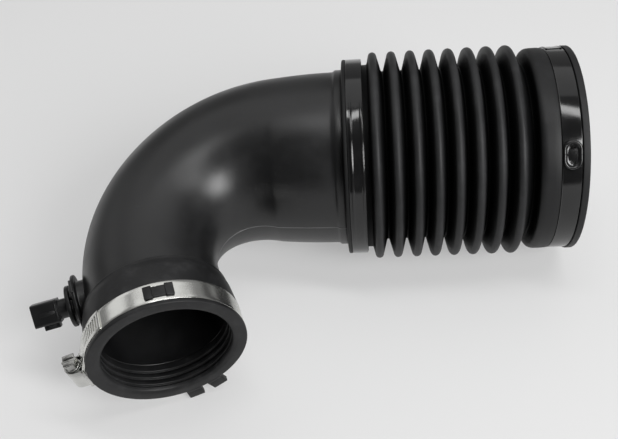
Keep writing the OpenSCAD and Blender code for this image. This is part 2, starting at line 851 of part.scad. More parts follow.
module terminal(side) {
    blade_w = 2.2;
    blade_t = 0.64;
    blade_l = socket_l / 2;
    color("#c8b273")
        at_sensor()
            translate([-blade_t / 2, side * terminal_gap - blade_w / 2, shroud_end - socket_l])
                cube([blade_t, blade_w, blade_l]);
}

module sensor_terminal_1() {
    terminal(-1);
}

module sensor_terminal_2() {
    terminal(1);
}

elbow_duct();
bellows();
throttle_cuff();
elbow_end_clamp();
airbox_end_clamp();
cuff_band();
worm_saddle();
worm_housing();
worm_screw();
sensor_body();
sensor_seal();
sensor_thermistor();
sensor_terminal_1();
sensor_terminal_2();
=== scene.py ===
"""Looks of a cold air intake pipe: elbow duct, rubber bellows, throttle cuff, clamps and sensor."""

import logging
from dataclasses import dataclass, field
from enum import Enum
from math import acos, asin, atan2, cos, degrees, hypot, pi, radians, sin, tan
from typing import Callable, Iterable, Sequence

import bmesh
import bpy
from mathutils import Matrix, Vector

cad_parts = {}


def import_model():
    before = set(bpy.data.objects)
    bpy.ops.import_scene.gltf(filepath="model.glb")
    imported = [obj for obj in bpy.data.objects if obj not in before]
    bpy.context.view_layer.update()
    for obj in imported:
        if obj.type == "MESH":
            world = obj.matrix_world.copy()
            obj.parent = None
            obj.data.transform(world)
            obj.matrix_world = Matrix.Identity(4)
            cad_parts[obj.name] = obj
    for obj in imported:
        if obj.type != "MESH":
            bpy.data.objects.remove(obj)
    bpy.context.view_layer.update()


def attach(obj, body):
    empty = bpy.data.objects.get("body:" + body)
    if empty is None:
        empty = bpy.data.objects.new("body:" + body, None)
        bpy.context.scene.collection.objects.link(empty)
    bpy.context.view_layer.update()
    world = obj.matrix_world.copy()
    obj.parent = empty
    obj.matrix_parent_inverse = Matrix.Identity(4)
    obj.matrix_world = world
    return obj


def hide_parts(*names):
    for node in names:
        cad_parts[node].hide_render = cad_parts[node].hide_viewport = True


LOG = logging.getLogger("intake_pipe")
MM = 0.001
FULL_TURN = 2 * pi
SEAM_UNDER = 5.0
Profile = list[tuple[float, float]]
Triple = tuple[float, float, float]
Mesh, Vert, Edge, Face = bmesh.types.BMesh, bmesh.types.BMVert, bmesh.types.BMEdge, bmesh.types.BMFace
Node, Tree, Socket = bpy.types.Node, bpy.types.NodeTree, bpy.types.NodeSocket
Material, Thing = bpy.types.Material, bpy.types.Object


class Body(str, Enum):
    """The rigid bodies that a piece can ride on."""

    DUCT = "duct"
    WORM = "worm"


class Slot(str, Enum):
    """The material slots."""

    DUCT = "duct_plastic"
    BELLOWS = "bellows_rubber"
    CUFF = "cuff_rubber"
    BAND = "black_band"
    STEEL = "stainless"
    SCREW = "screw_steel"
    SENSOR = "sensor_plastic"


# Sizes and places


def turned(axis: str, angle: float) -> Matrix:
    """Returns a turn about one axis, in degrees."""
    return Matrix.Rotation(radians(angle), 4, axis)


def shifted(x: float, y: float, z: float) -> Matrix:
    """Returns a shift in millimetres."""
    return Matrix.Translation((x, y, z))


@dataclass(frozen=True)
class PipeLayout:
    """Sizes in millimetres that several sub-assemblies share, and where each of them sits."""

    crest_r: float = 65.0
    valley_r: float = 53.0
    fold_count: int = 8
    fold_pitch: float = 11.7
    airbox_cuff_end: float = 27.2
    airbox_gap: float = 10.1
    neck_l: float = 6.9
    collar_w: float = 12.4
    bore_offset: float = 11.2
    bend_r: float = 74.0
    bend_angle: float = 107.5
    run_in: float = 42.0
    run_out: float = 48.0
    spigot_r: float = 54.0
    end_r: float = 39.0
    wall: float = 2.8
    bead_l: float = 6.0
    cuff_l: float = 35.0
    throttle_depth: float = 18.0
    cuff_seat_r: float = 43.1
    band_w: float = 12.0
    band_t: float = 0.8
    band_mid: float = 8.9
    clamp_at: float = 187.0
    lug_reach: float = 51.5
    lug_w: float = 9.2
    lug_at: tuple[float, float] = (278.3, 295.7)
    seat_gap: float = 0.05
    saddle_rise: float = 1.4
    worm_r: float = 4.0
    worm_gap: float = 0.3
    tab_at: float = 83.0
    sensor_back: float = 50.0
    boss_top: float = 43.4

    @property
    def last_crest(self) -> float:
        """Depth of the crest nearest the air box."""
        return self.airbox_cuff_end + self.airbox_gap

    @property
    def first_crest(self) -> float:
        """Depth of the crest nearest the collar."""
        return self.last_crest + (self.fold_count - 1) * self.fold_pitch

    @property
    def collar_start(self) -> float:
        """Depth where the collar's seat begins."""
        return self.first_crest + self.neck_l

    @property
    def collar_end(self) -> float:
        """Depth where the collar ends against the elbow's bead."""
        return self.collar_start + self.collar_w

    @property
    def bend_start(self) -> float:
        """Depth where the bend begins."""
        return self.collar_end + self.run_in

    @property
    def mouth_angle(self) -> float:
        """Angle between the throttle mouth's direction and +X, in the bend's plane."""
        return 180.0 - self.bend_angle

    @property
    def mouth(self) -> tuple[float, float]:
        """The throttle mouth's centre in the bend's plane."""
        tangent = self.bend_r * tan(radians(self.bend_angle / 2))
        reach = tangent + self.run_out
        angle = radians(self.mouth_angle)
        return (-(self.bend_start + tangent) + reach * cos(angle), -reach * sin(angle))

    @property
    def drop(self) -> float:
        """Angle that the bend's plane is dropped by until the first lug meets the floor."""
        at = radians(self.lug_at[0])
        corner = (
            self.lug_reach * cos(at) - self.lug_w / 2 * abs(sin(at)),
            self.lug_reach * sin(at) - self.lug_w / 2 * abs(cos(at)),
        )
        arm = -self.mouth[1] - corner[0] * cos(radians(self.mouth_angle))
        lean = atan2(arm, -corner[1]) - acos(self.crest_r / hypot(arm, corner[1]))
        return degrees(lean)

    @property
    def flat_level(self) -> float:
        """Height of the worm band's flat over the cuff's axis."""
        return self.cuff_seat_r + self.seat_gap + self.saddle_rise

    @property
    def screw_level(self) -> float:
        """Height of the worm's axis over the cuff's axis."""
        return self.flat_level + 2 * self.band_t + self.worm_gap + self.worm_r

    def along_bellows(self) -> Matrix:
        """Returns the place of shapes drawn along +Z from the air box mouth inwards."""
        return shifted(self.bore_offset, 0, 0) @ turned("Y", -90)

    def in_bend(self) -> Matrix:
        """Returns the place of shapes drawn in the bend's own plane."""
        return shifted(self.bore_offset, 0, 0) @ turned("X", self.drop)

    def at_mouth(self) -> Matrix:
        """Returns the place of shapes drawn at the throttle mouth, z pointing out of it."""
        stand = turned("Z", 90) @ turned("X", 90)
        return self.in_bend() @ shifted(*self.mouth, 0) @ turned("Z", -self.mouth_angle) @ stand

    def at_clamp(self) -> Matrix:
        """Returns the place of the worm: x out from the cuff, y towards the screw's head."""
        middle = turned("Z", self.clamp_at) @ shifted(0, 0, -self.band_mid)
        return self.at_mouth() @ middle @ turned("X", 180)

    def at_sensor(self) -> Matrix:
        """Returns the place of the sensor, z from the elbow's centre line outwards."""
        lie = turned("Y", -90) @ turned("Z", 45)
        return self.at_mouth() @ shifted(0, 0, -self.sensor_back) @ lie


# Shaping helpers


def arc(cx: float, cy: float, r: float, start: float, end: float, steps: int = 6) -> Profile:
    """Samples an arc.

    Args:
        cx: Centre, first coordinate.
        cy: Centre, second coordinate.
        r: Radius.
        start: First angle in degrees.
        end: Last angle in degrees.
        steps: Number of spans.

    Returns:
        The points along the arc, both ends included.
    """
    turns = [radians(start + (end - start) * k / steps) for k in range(steps + 1)]
    return [(cx + r * cos(a), cy + r * sin(a)) for a in turns]


def softened(corners: Sequence[tuple[float, ...]], steps: int = 4, closed: bool = True) -> Profile:
    """Rounds the corners of an outline.

    Args:
        corners: Points with an optional third value, the length to cut back on each side.
        steps: Spans of each rounded corner.
        closed: Whether the last corner joins the first.

    Returns:
        The outline with each marked corner replaced by a short curve.
    """
    out: Profile = []
    count = len(corners)
    for k, corner in enumerate(corners):
        here = Vector(corner[:2])
        cut = corner[2] if len(corner) > 2 else 0.0
        if cut <= 0 or (not closed and k in (0, count - 1)):
            out.append((here.x, here.y))
            continue
        before = Vector(corners[k - 1][:2]) - here
        after = Vector(corners[(k + 1) % count][:2]) - here
        first = here + before.normalized() * min(cut, before.length * 0.48)
        last = here + after.normalized() * min(cut, after.length * 0.48)
        for step in range(steps + 1):
            t = step / steps
            point = first * (1 - t) ** 2 + here * 2 * t * (1 - t) + last * t**2
            out.append((point.x, point.y))
    return out


def of_kind(items: Iterable, kind: type) -> list:
    """Returns the mesh elements of one kind."""
    return [item for item in items if isinstance(item, kind)]


def rim(verts: Iterable[Vert]) -> list[Edge]:
    """Returns the edges that join the given vertices with one another."""
    chosen = set(verts)
    return list({e for v in chosen for e in v.link_edges if e.other_vert(v) in chosen})


def faces_over(bm: Mesh, level: float) -> list[Face]:
    """Returns the faces that lie wholly over a height."""
    return [f for f in bm.faces if all(v.co.z > level for v in f.verts)]


def grown(bm: Mesh, edges: Sequence[Edge]) -> tuple[list[Vert], list[Edge], list[Face]]:
    """Extrudes a line of edges in place.

    Args:
        bm: The mesh.
        edges: The edges to extrude.

    Returns:
        The new vertices, the line of edges that joins them, and the new faces.
    """
    new = bmesh.ops.extrude_edge_only(bm, edges=edges)["geom"]
    verts = of_kind(new, Vert)
    return verts, rim(verts), of_kind(new, Face)


def spun(bm: Mesh, verts: Sequence[Vert], angle: float) -> None:
    """Turns vertices about the Z axis, in degrees."""
    bmesh.ops.rotate(bm, verts=verts, cent=(0, 0, 0), matrix=Matrix.Rotation(radians(angle), 3, "Z"))


def bevelled(bm: Mesh, edges: Iterable[Edge], width: float, segments: int = 3) -> list[Face]:
    """Rounds edges and returns the new faces.

    Args:
        bm: The mesh.
        edges: The edges to round.
        width: Width of the rounding.
        segments: Number of spans across it.

    Returns:
        The faces of the rounding.
    """
    return bmesh.ops.bevel(
        bm, geom=list(edges), offset=width, segments=segments, profile=0.5, affect="EDGES", material=-1,
    )["faces"]


def outline(bm: Mesh, points: Profile) -> list:
    """Draws a closed outline in the XZ plane.

    Args:
        bm: The mesh to draw in.
        points: Radius and height of each point.

    Returns:
        The new vertices and edges.
    """
    verts = [bm.verts.new((x, 0.0, z)) for x, z in points]
    return verts + [bm.edges.new(pair) for pair in zip(verts, verts[1:] + verts[:1])]


def revolved(bm: Mesh, points: Profile, steps: int = 160) -> None:
    """Spins a closed outline a full turn about the Z axis.

    Args:
        bm: The mesh to add to.
        points: Radius and height of each point of the outline.
        steps: Number of spans.
    """
    bmesh.ops.spin(
        bm, geom=outline(bm, points), cent=(0, 0, 0), axis=(0, 0, 1), dvec=(0, 0, 0),
        angle=FULL_TURN, steps=steps, use_merge=True, use_duplicate=False,
    )


def swept(bm: Mesh, points: Profile, start: float, end: float, steps: int) -> None:
    """Spins a filled outline through part of a turn.

    Args:
        bm: The mesh to add to.
        points: Radius and height of each point of the outline.
        start: First angle in degrees.
        end: Last angle in degrees.
        steps: Number of spans.
    """
    new = outline(bm, points)
    face = bmesh.ops.contextual_create(bm, geom=new)["faces"]
    verts = of_kind(new, Vert)
    spun(bm, verts, start)
    bmesh.ops.spin(
        bm, geom=verts + list({e for v in verts for e in v.link_edges}) + face, cent=(0, 0, 0),
        axis=(0, 0, 1), dvec=(0, 0, 0), angle=radians(end - start), steps=steps,
        use_merge=False, use_duplicate=False,
    )


def prism(bm: Mesh, points: Profile, low: float, high: float) -> list:
    """Extrudes a filled outline, drawn in the XY plane, along Z.

    Args:
        bm: The mesh to add to.
        points: The outline's points.
        low: Height of the first face.
        high: Height of the last face.

    Returns:
        The vertices of the new solid.
    """
    verts = [bm.verts.new((x, y, low)) for x, y in points]
    face = bm.faces.new(verts)
    raised = bmesh.ops.extrude_face_region(bm, geom=[face])["geom"]
    tops = of_kind(raised, Vert)
    bmesh.ops.translate(bm, verts=tops, vec=(0, 0, high - low))
    return verts + tops


def block(bm: Mesh, size: Triple, centre: Triple, round_by: float) -> list[Vert]:
    """Adds a block with rounded edges.

    Args:
        bm: The mesh to add to.
        size: Length along each axis.
        centre: Middle of the block.
        round_by: Width of the rounding.

    Returns:
        The vertices of the new block.
    """
    verts = bmesh.ops.create_cube(bm, size=1.0)["verts"]
    bmesh.ops.scale(bm, vec=size, verts=verts)
    bmesh.ops.translate(bm, vec=centre, verts=verts)
    faces = bevelled(bm, {e for v in verts for e in v.link_edges}, round_by)
    return list({v for f in faces for v in f.verts} | {v for v in verts if v.is_valid})


def rounded_box(width: float, height: float, corner: float, steps: int = 5) -> Profile:
    """Draws a rectangle with round corners, centred on the origin.

    Args:
        width: Length along the first axis.
        height: Length along the second axis.
        corner: Radius of the corners.
        steps: Spans of each corner.

    Returns:
        The rectangle's points.
    """
    x, y = width / 2 - corner, height / 2 - corner
    places = ((x, y, 0), (-x, y, 90), (-x, -y, 180), (x, -y, 270))
    return [p for cx, cy, a in places for p in arc(cx, cy, corner, a, a + 90, steps)]


# Finishes


class NodeSheet:
    """A thin wrapper that adds and wires shader nodes."""

    def __init__(self, tree: Tree) -> None:
        """Keeps the node tree."""
        self.tree = tree

    def add(self, kind: str, inputs: dict | None = None, **settings: object) -> Node:
        """Adds a node.

        Args:
            kind: The node's type, without its ShaderNode prefix.
            inputs: Values or sockets for its inputs, by name or number.
            settings: Properties of the node.

        Returns:
            The new node.
        """
        node = self.tree.nodes.new(kind if kind.startswith("Node") else "ShaderNode" + kind)
        for name, value in settings.items():
            setattr(node, name, value)
        return self.wired(node, inputs or {})

    def wired(self, node: Node, inputs: dict) -> Node:
        """Gives a node its inputs.

        Args:
            node: The node.
            inputs: Values or sockets, by the input's name or number.

        Returns:
            The same node.
        """
        for key, value in inputs.items():
            if isinstance(value, Socket):
                self.tree.links.new(value, node.inputs[key])
            else:
                node.inputs[key].default_value = value
        return node

    def maths(self, operation: str, a: object, b: object = 0.0) -> Socket:
        """Returns the result of a Math node."""
        return self.add("Math", {0: a, 1: b}, operation=operation).outputs[0]

    def ramp(self, value: object, low: float, high: float, to: tuple = (0.0, 1.0)) -> Socket:
        """Maps a value smoothly from one range to another.

        Args:
            value: The value or its socket.
            low: Start of its range.
            high: End of its range.
            to: The two ends of the new range.

        Returns:
            The mapped value.
        """
        inputs = {"Value": value, "From Min": low, "From Max": high, "To Min": to[0], "To Max": to[1]}
        return self.add("MapRange", inputs, interpolation_type="SMOOTHSTEP").outputs["Result"]

    def blend(self, mask: object, a: object, b: object) -> Socket:
        """Returns a mix of two colours."""
        return self.wired(self.add("Mix", data_type="RGBA"), {0: mask, 6: a, 7: b}).outputs[2]

    def noise(self, where: Socket, scale: object, detail: float, roughness: float = 0.5) -> Socket:
        """Returns the value of a noise texture."""
        inputs = {"Vector": where, "Scale": scale, "Detail": detail, "Roughness": roughness}
        return self.add("TexNoise", inputs).outputs[0]


def new_group(name: str, inputs: dict[str, tuple], outputs: Sequence[str]) -> tuple:
    """Makes an empty shader node group.

    Args:
        name: The group's name.
        inputs: Socket type and default value, by name.
        outputs: Names of its value outputs.

    Returns:
        The group's tree, a NodeSheet on it, its input node and its output node.
    """
    tree = bpy.data.node_groups.new(name, "ShaderNodeTree")
    for label, (kind, default) in inputs.items():
        socket = tree.interface.new_socket(name=label, in_out="INPUT", socket_type=kind)
        if default is not None:
            socket.default_value = default
    for label in outputs:
        tree.interface.new_socket(name=label, in_out="OUTPUT", socket_type="NodeSocketFloat")
    sheet = NodeSheet(tree)
    return tree, sheet, sheet.add("NodeGroupInput"), sheet.add("NodeGroupOutput")


def moulding_grain_group() -> Tree:
    """Makes the group for a moulded surface: fine grain, slow waves and cloudy handling marks.

    Returns:
        A group with the outputs Height, Cloud, Speck and Dust.
    """
    inputs = {"Vector": ("NodeSocketVector", None), "Grain Scale": ("NodeSocketFloat", 1400.0)}
    tree, sheet, source, result = new_group("moulding_grain", inputs, ("Height", "Cloud", "Speck", "Dust"))
    where = source.outputs["Vector"]
    fine = sheet.noise(where, source.outputs["Grain Scale"], 4.0)
    wave = sheet.maths("MULTIPLY", sheet.noise(where, 26.0, 2.0), 1.6)
    sheet.wired(result, {
        "Height": sheet.maths("ADD", fine, wave),
        "Cloud": sheet.ramp(sheet.noise(where, 17.0, 5.0, 0.62), 0.38, 0.68),
        "Speck": sheet.ramp(sheet.noise(where, 420.0, 3.0), 0.62, 0.74),
        "Dust": sheet.ramp(sheet.noise(where, 75.0, 6.0, 0.7), 0.46, 0.72),
    })
    return tree


def seam_group() -> Tree:
    """Makes the group for the mould's parting line, which lies just under the bend's own plane.

    Returns:
        A group with the output Mask, 1 on the line.
    """
    inputs = {"Vector": ("NodeSocketVector", None), "Half Width": ("NodeSocketFloat", 0.0003)}
    tree, sheet, source, result = new_group("parting_line", inputs, ("Mask",))
    turn = sheet.add("Mapping", {
        "Vector": source.outputs["Vector"], "Rotation": (radians(-PipeLayout().drop), 0, 0),
    })
    level = sheet.add("SeparateXYZ", {0: turn.outputs[0]}).outputs["Z"]
    away = sheet.maths("ABSOLUTE", sheet.maths("ADD", level, SEAM_UNDER * MM))
    ratio = sheet.maths("DIVIDE", away, source.outputs["Half Width"])
    tree.links.new(sheet.ramp(ratio, 2.0, 0.6), result.inputs["Mask"])
    return tree


def rolled_strip_group() -> Tree:
    """Makes the group for rolled metal: fine lines along the strip and faint smudges.

    Returns:
        A group with the outputs Height and Smudge.
    """
    inputs = {
        "Vector": ("NodeSocketVector", None),
        "Stretch": ("NodeSocketVector", (60.0, 60.0, 5200.0)),
    }
    tree, sheet, source, result = new_group("rolled_strip", inputs, ("Height", "Smudge"))
    where, stretch = source.outputs["Vector"], source.outputs["Stretch"]
    drawn = sheet.add("VectorMath", {0: where, 1: stretch}, operation="MULTIPLY").outputs[0]
    smudge = sheet.ramp(sheet.noise(where, 90.0, 4.0), 0.35, 0.7)
    sheet.wired(result, {"Height": sheet.noise(drawn, 1.0, 3.0), "Smudge": smudge})
    return tree


def edge_of_band_group() -> Tree:
    """Makes the group that finds a band's two edges from how far a point is along the axis.

    Returns:
        A group with the output Mask, 1 at the edges.
    """
    inputs = {
        "Along": ("NodeSocketFloat", 0.0),
        "Middle": ("NodeSocketFloat", 0.0),
        "Half Width": ("NodeSocketFloat", 0.005),
    }
    tree, sheet, source, result = new_group("band_edges", inputs, ("Mask",))
    offset = sheet.maths("SUBTRACT", source.outputs["Along"], source.outputs["Middle"])
    away = sheet.maths("ABSOLUTE", offset)
    left = sheet.maths("SUBTRACT", source.outputs["Half Width"], away)
    tree.links.new(sheet.ramp(left, 0.0005, 0.00025), result.inputs["Mask"])
    return tree


class GroupShelf:
    """Holds the shader node groups, each built once."""

    def __init__(self) -> None:
        """Builds every group."""
        self.grain = moulding_grain_group()
        self.seam = seam_group()
        self.strip = rolled_strip_group()
        self.band_edges = edge_of_band_group()

    def place(self, sheet: NodeSheet, group: Tree, inputs: dict) -> Node:
        """Places a group in a material.

        Args:
            sheet: The material's nodes.
            group: The group to place.
            inputs: Values or sockets for its inputs.

        Returns:
            The group node.
        """
        node = sheet.add("Group")
        node.node_tree = group
        return sheet.wired(node, inputs)


def start_material(name: str) -> tuple[Material, NodeSheet, Node, Socket]:
    """Starts a material.

    Args:
        name: The material's name.

    Returns:
        The material, its nodes, its Principled BSDF and the object coordinates.
    """
    material = bpy.data.materials.new(name)
    material.use_nodes = True
    sheet = NodeSheet(material.node_tree)
    shader = material.node_tree.nodes["Principled BSDF"]
    where = sheet.add("TexCoord").outputs["Object"]
    return material, sheet, shader, where


@dataclass(frozen=True)
class Finish:
    """What every finish has: a name, two colours and how rough it is."""

    name: str
    colour: Triple
    pale: Triple
    roughness: float
    spread: float = 0.08

    def complete(
        self, sheet: NodeSheet, shader: Node, tone: Socket, patches: Socket, height: Socket, depth: float,
    ) -> None:
        """Wires colour, roughness and bump to the shader.

        Args:
            sheet: The material's nodes.
            shader: Its Principled BSDF.
            tone: The colour.
            patches: A value from 0 to 1 that the roughness follows.
            height: The height of the surface's detail.
            depth: How far that height reaches, in metres.
        """
        span = (self.roughness - self.spread, self.roughness + self.spread)
        bump = sheet.add("Bump", {"Height": height, "Distance": depth, "Strength": 1.0})
        sheet.wired(shader, {
            "Base Color": tone, "Roughness": sheet.ramp(patches, 0.0, 1.0, span), "Normal": bump.outputs[0],
        })


@dataclass(frozen=True)
class MouldedFinish(Finish):
    """A moulded plastic or rubber: dark, finely grained, with light handling marks, and where asked a
    painted highlight on fold crests over painted shade in the valleys, and a painted highlight along one
    rim.
    """

    grain_scale: float = 1400.0
    grain_depth: float = 0.00002
    seam: bool = False
    crest_r: float = 0.0
    gloss: float = 0.4
    dust: float = 0.0
    rim: tuple[Triple, float, float] | None = None
    line_colour: Triple = (0.13, 0.13, 0.132)

    def make(self, shelf: GroupShelf) -> Material:
        """Builds the material.

        Args:
            shelf: The shader node groups.

        Returns:
            The material.
        """
        material, sheet, shader, where = start_material(self.name)
        grain = shelf.place(sheet, shelf.grain, {"Vector": where, "Grain Scale": self.grain_scale}).outputs
        cloud, height = grain["Cloud"], grain["Height"]
        paleness = sheet.maths("MULTIPLY", cloud, 0.35)
        paleness = sheet.maths("ADD", paleness, sheet.maths("MULTIPLY", grain["Speck"], 0.25))
        paleness = sheet.maths("ADD", paleness, sheet.maths("MULTIPLY", grain["Dust"], self.dust))
        shine: Socket | float = self.gloss
        # The fold crests are painted paler, a painted highlight along each crest on top of the marks, and
        # the valleys lose the marks and stay dark, a painted shade; the valleys also reflect less.
        if self.crest_r > 0:
            parts = sheet.add("SeparateXYZ", {0: where}).outputs
            flat = sheet.add("CombineXYZ", {"Y": parts["Y"], "Z": parts["Z"]}).outputs[0]
            reach = sheet.add("VectorMath", {0: flat}, operation="LENGTH").outputs["Value"]
            crest = sheet.ramp(reach, (self.crest_r - 5.0) * MM, (self.crest_r - 0.2) * MM)
            paleness = sheet.maths("MULTIPLY", sheet.maths("ADD", paleness, 0.45), crest)
            low, high = (self.crest_r - 9.0) * MM, (self.crest_r - 3.0) * MM
            shine = sheet.ramp(reach, low, high, (0.03, self.gloss))
        sheet.wired(shader, {"Specular IOR Level": shine})
        mask = sheet.add("Clamp", {0: paleness}).outputs[0]
        tone = sheet.blend(mask, (*self.colour, 1.0), (*self.pale, 1.0))
        if self.seam:
            line = shelf.place(sheet, shelf.seam, {"Vector": where}).outputs["Mask"]
            height = sheet.maths("ADD", height, sheet.maths("MULTIPLY", line, 9.0))
            tone = sheet.blend(line, tone, (*self.line_colour, 1.0))
        # A narrow band along one rim is painted in line_colour, a painted highlight on the rounded rim,
        # stronger where the marks are.
        if self.rim is not None:
            axis, level, half = self.rim
            along = sheet.add("VectorMath", {0: where, 1: axis}, operation="DOT_PRODUCT").outputs["Value"]
            inputs = {"Along": along, "Middle": level, "Half Width": half}
            edge = shelf.place(sheet, shelf.band_edges, inputs).outputs["Mask"]
            rim_highlight = sheet.maths("MULTIPLY", edge, sheet.ramp(cloud, 0.0, 0.6, (0.35, 1.0)))
            tone = sheet.blend(rim_highlight, tone, (*self.line_colour, 1.0))
        self.complete(sheet, shader, tone, cloud, height, self.grain_depth)
        return material


@dataclass(frozen=True)
class MetalFinish(Finish):
    """A rolled, turned or plated metal."""

    stretch: Triple = (60.0, 60.0, 5200.0)
    turn: Triple = (0.0, 0.0, 0.0)
    depth: float = 0.000012
    metallic: float = 1.0
    edges: tuple[float, float] | None = None
    edge_colour: Triple = (0.6, 0.6, 0.58)

    def make(self, shelf: GroupShelf) -> Material:
        """Builds the material.

        Args:
            shelf: The shader node groups.

        Returns:
            The material.
        """
        material, sheet, shader, where = start_material(self.name)
        lie = sheet.add("Mapping", {"Vector": where, "Rotation": self.turn}).outputs[0]
        strip = shelf.place(sheet, shelf.strip, {"Vector": lie, "Stretch": self.stretch}).outputs
        tone = sheet.blend(strip["Smudge"], (*self.colour, 1.0), (*self.pale, 1.0))
        metal: Socket | float = self.metallic
        # The band's two edges are made paler and fully metallic: bare metal at the rolled edges, and a
        # painted highlight along them.
        if self.edges is not None:
            along = sheet.add("SeparateXYZ", {0: where}).outputs["X"]
            inputs = {"Along": along, "Middle": self.edges[0] * MM, "Half Width": self.edges[1] * MM}
            edge = shelf.place(sheet, shelf.band_edges, inputs).outputs["Mask"]
            tone = sheet.blend(edge, tone, (*self.edge_colour, 1.0))
            metal = sheet.ramp(edge, 0.0, 1.0, (self.metallic, 1.0))
        sheet.wired(shader, {"Metallic": metal})
        self.complete(sheet, shader, tone, strip["Smudge"], strip["Height"], self.depth)
        return material


# Making pieces


@dataclass
class Workshop:
    """Turns shaped meshes into finished pieces of the scene."""

    layout: PipeLayout
    shelf: GroupShelf
    made: list[str] = field(default_factory=list)

    def piece(
        self, name: str, shape: Callable[[Mesh], None], place: Matrix,
        material: Material, slot: Slot, nodes: Iterable[str] = (), body: Body = Body.DUCT,
        sharp: float = 34.0,
    ) -> Thing:
        """Makes one piece.

        Args:
            name: The piece's name.
            shape: Builds the mesh in millimetres in the piece's own frame.
            place: Where that frame sits, in millimetres.
            material: The finish.
            slot: The slot of the finish; not used.
            nodes: CAD nodes that the piece stands for.
            body: The body it rides on.
            sharp: Edges over this angle in degrees stay sharp.

        Returns:
            The finished object.
        """
        bm = bmesh.new()
        shape(bm)
        bmesh.ops.remove_doubles(bm, verts=bm.verts, dist=0.0005)
        bmesh.ops.recalc_face_normals(bm, faces=bm.faces)
        bmesh.ops.transform(bm, matrix=Matrix.Scale(MM, 4) @ place, verts=bm.verts)
        mesh = bpy.data.meshes.new(name)
        bm.to_mesh(mesh)
        bm.free()
        mesh.polygons.foreach_set("use_smooth", [True] * len(mesh.polygons))
        mesh.set_sharp_from_angle(angle=radians(sharp))
        mesh.materials.append(material)
        piece = bpy.data.objects.new(name, mesh)
        bpy.context.scene.collection.objects.link(piece)
        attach(piece, body.value)
        if nodes:
            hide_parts(*nodes)
        self.made.append(name)
        LOG.info("made %s with %d faces", name, len(mesh.polygons))
        return piece

    def dress(self, node: str, material: Material) -> None:
        """Gives a CAD node's own object a finish.

        Args:
            node: The CAD node.
            material: The finish.
        """
        slots = bpy.data.objects[node].data.materials
        slots.clear()
        slots.append(material)
        LOG.info("dressed %s", node)


# Elbow


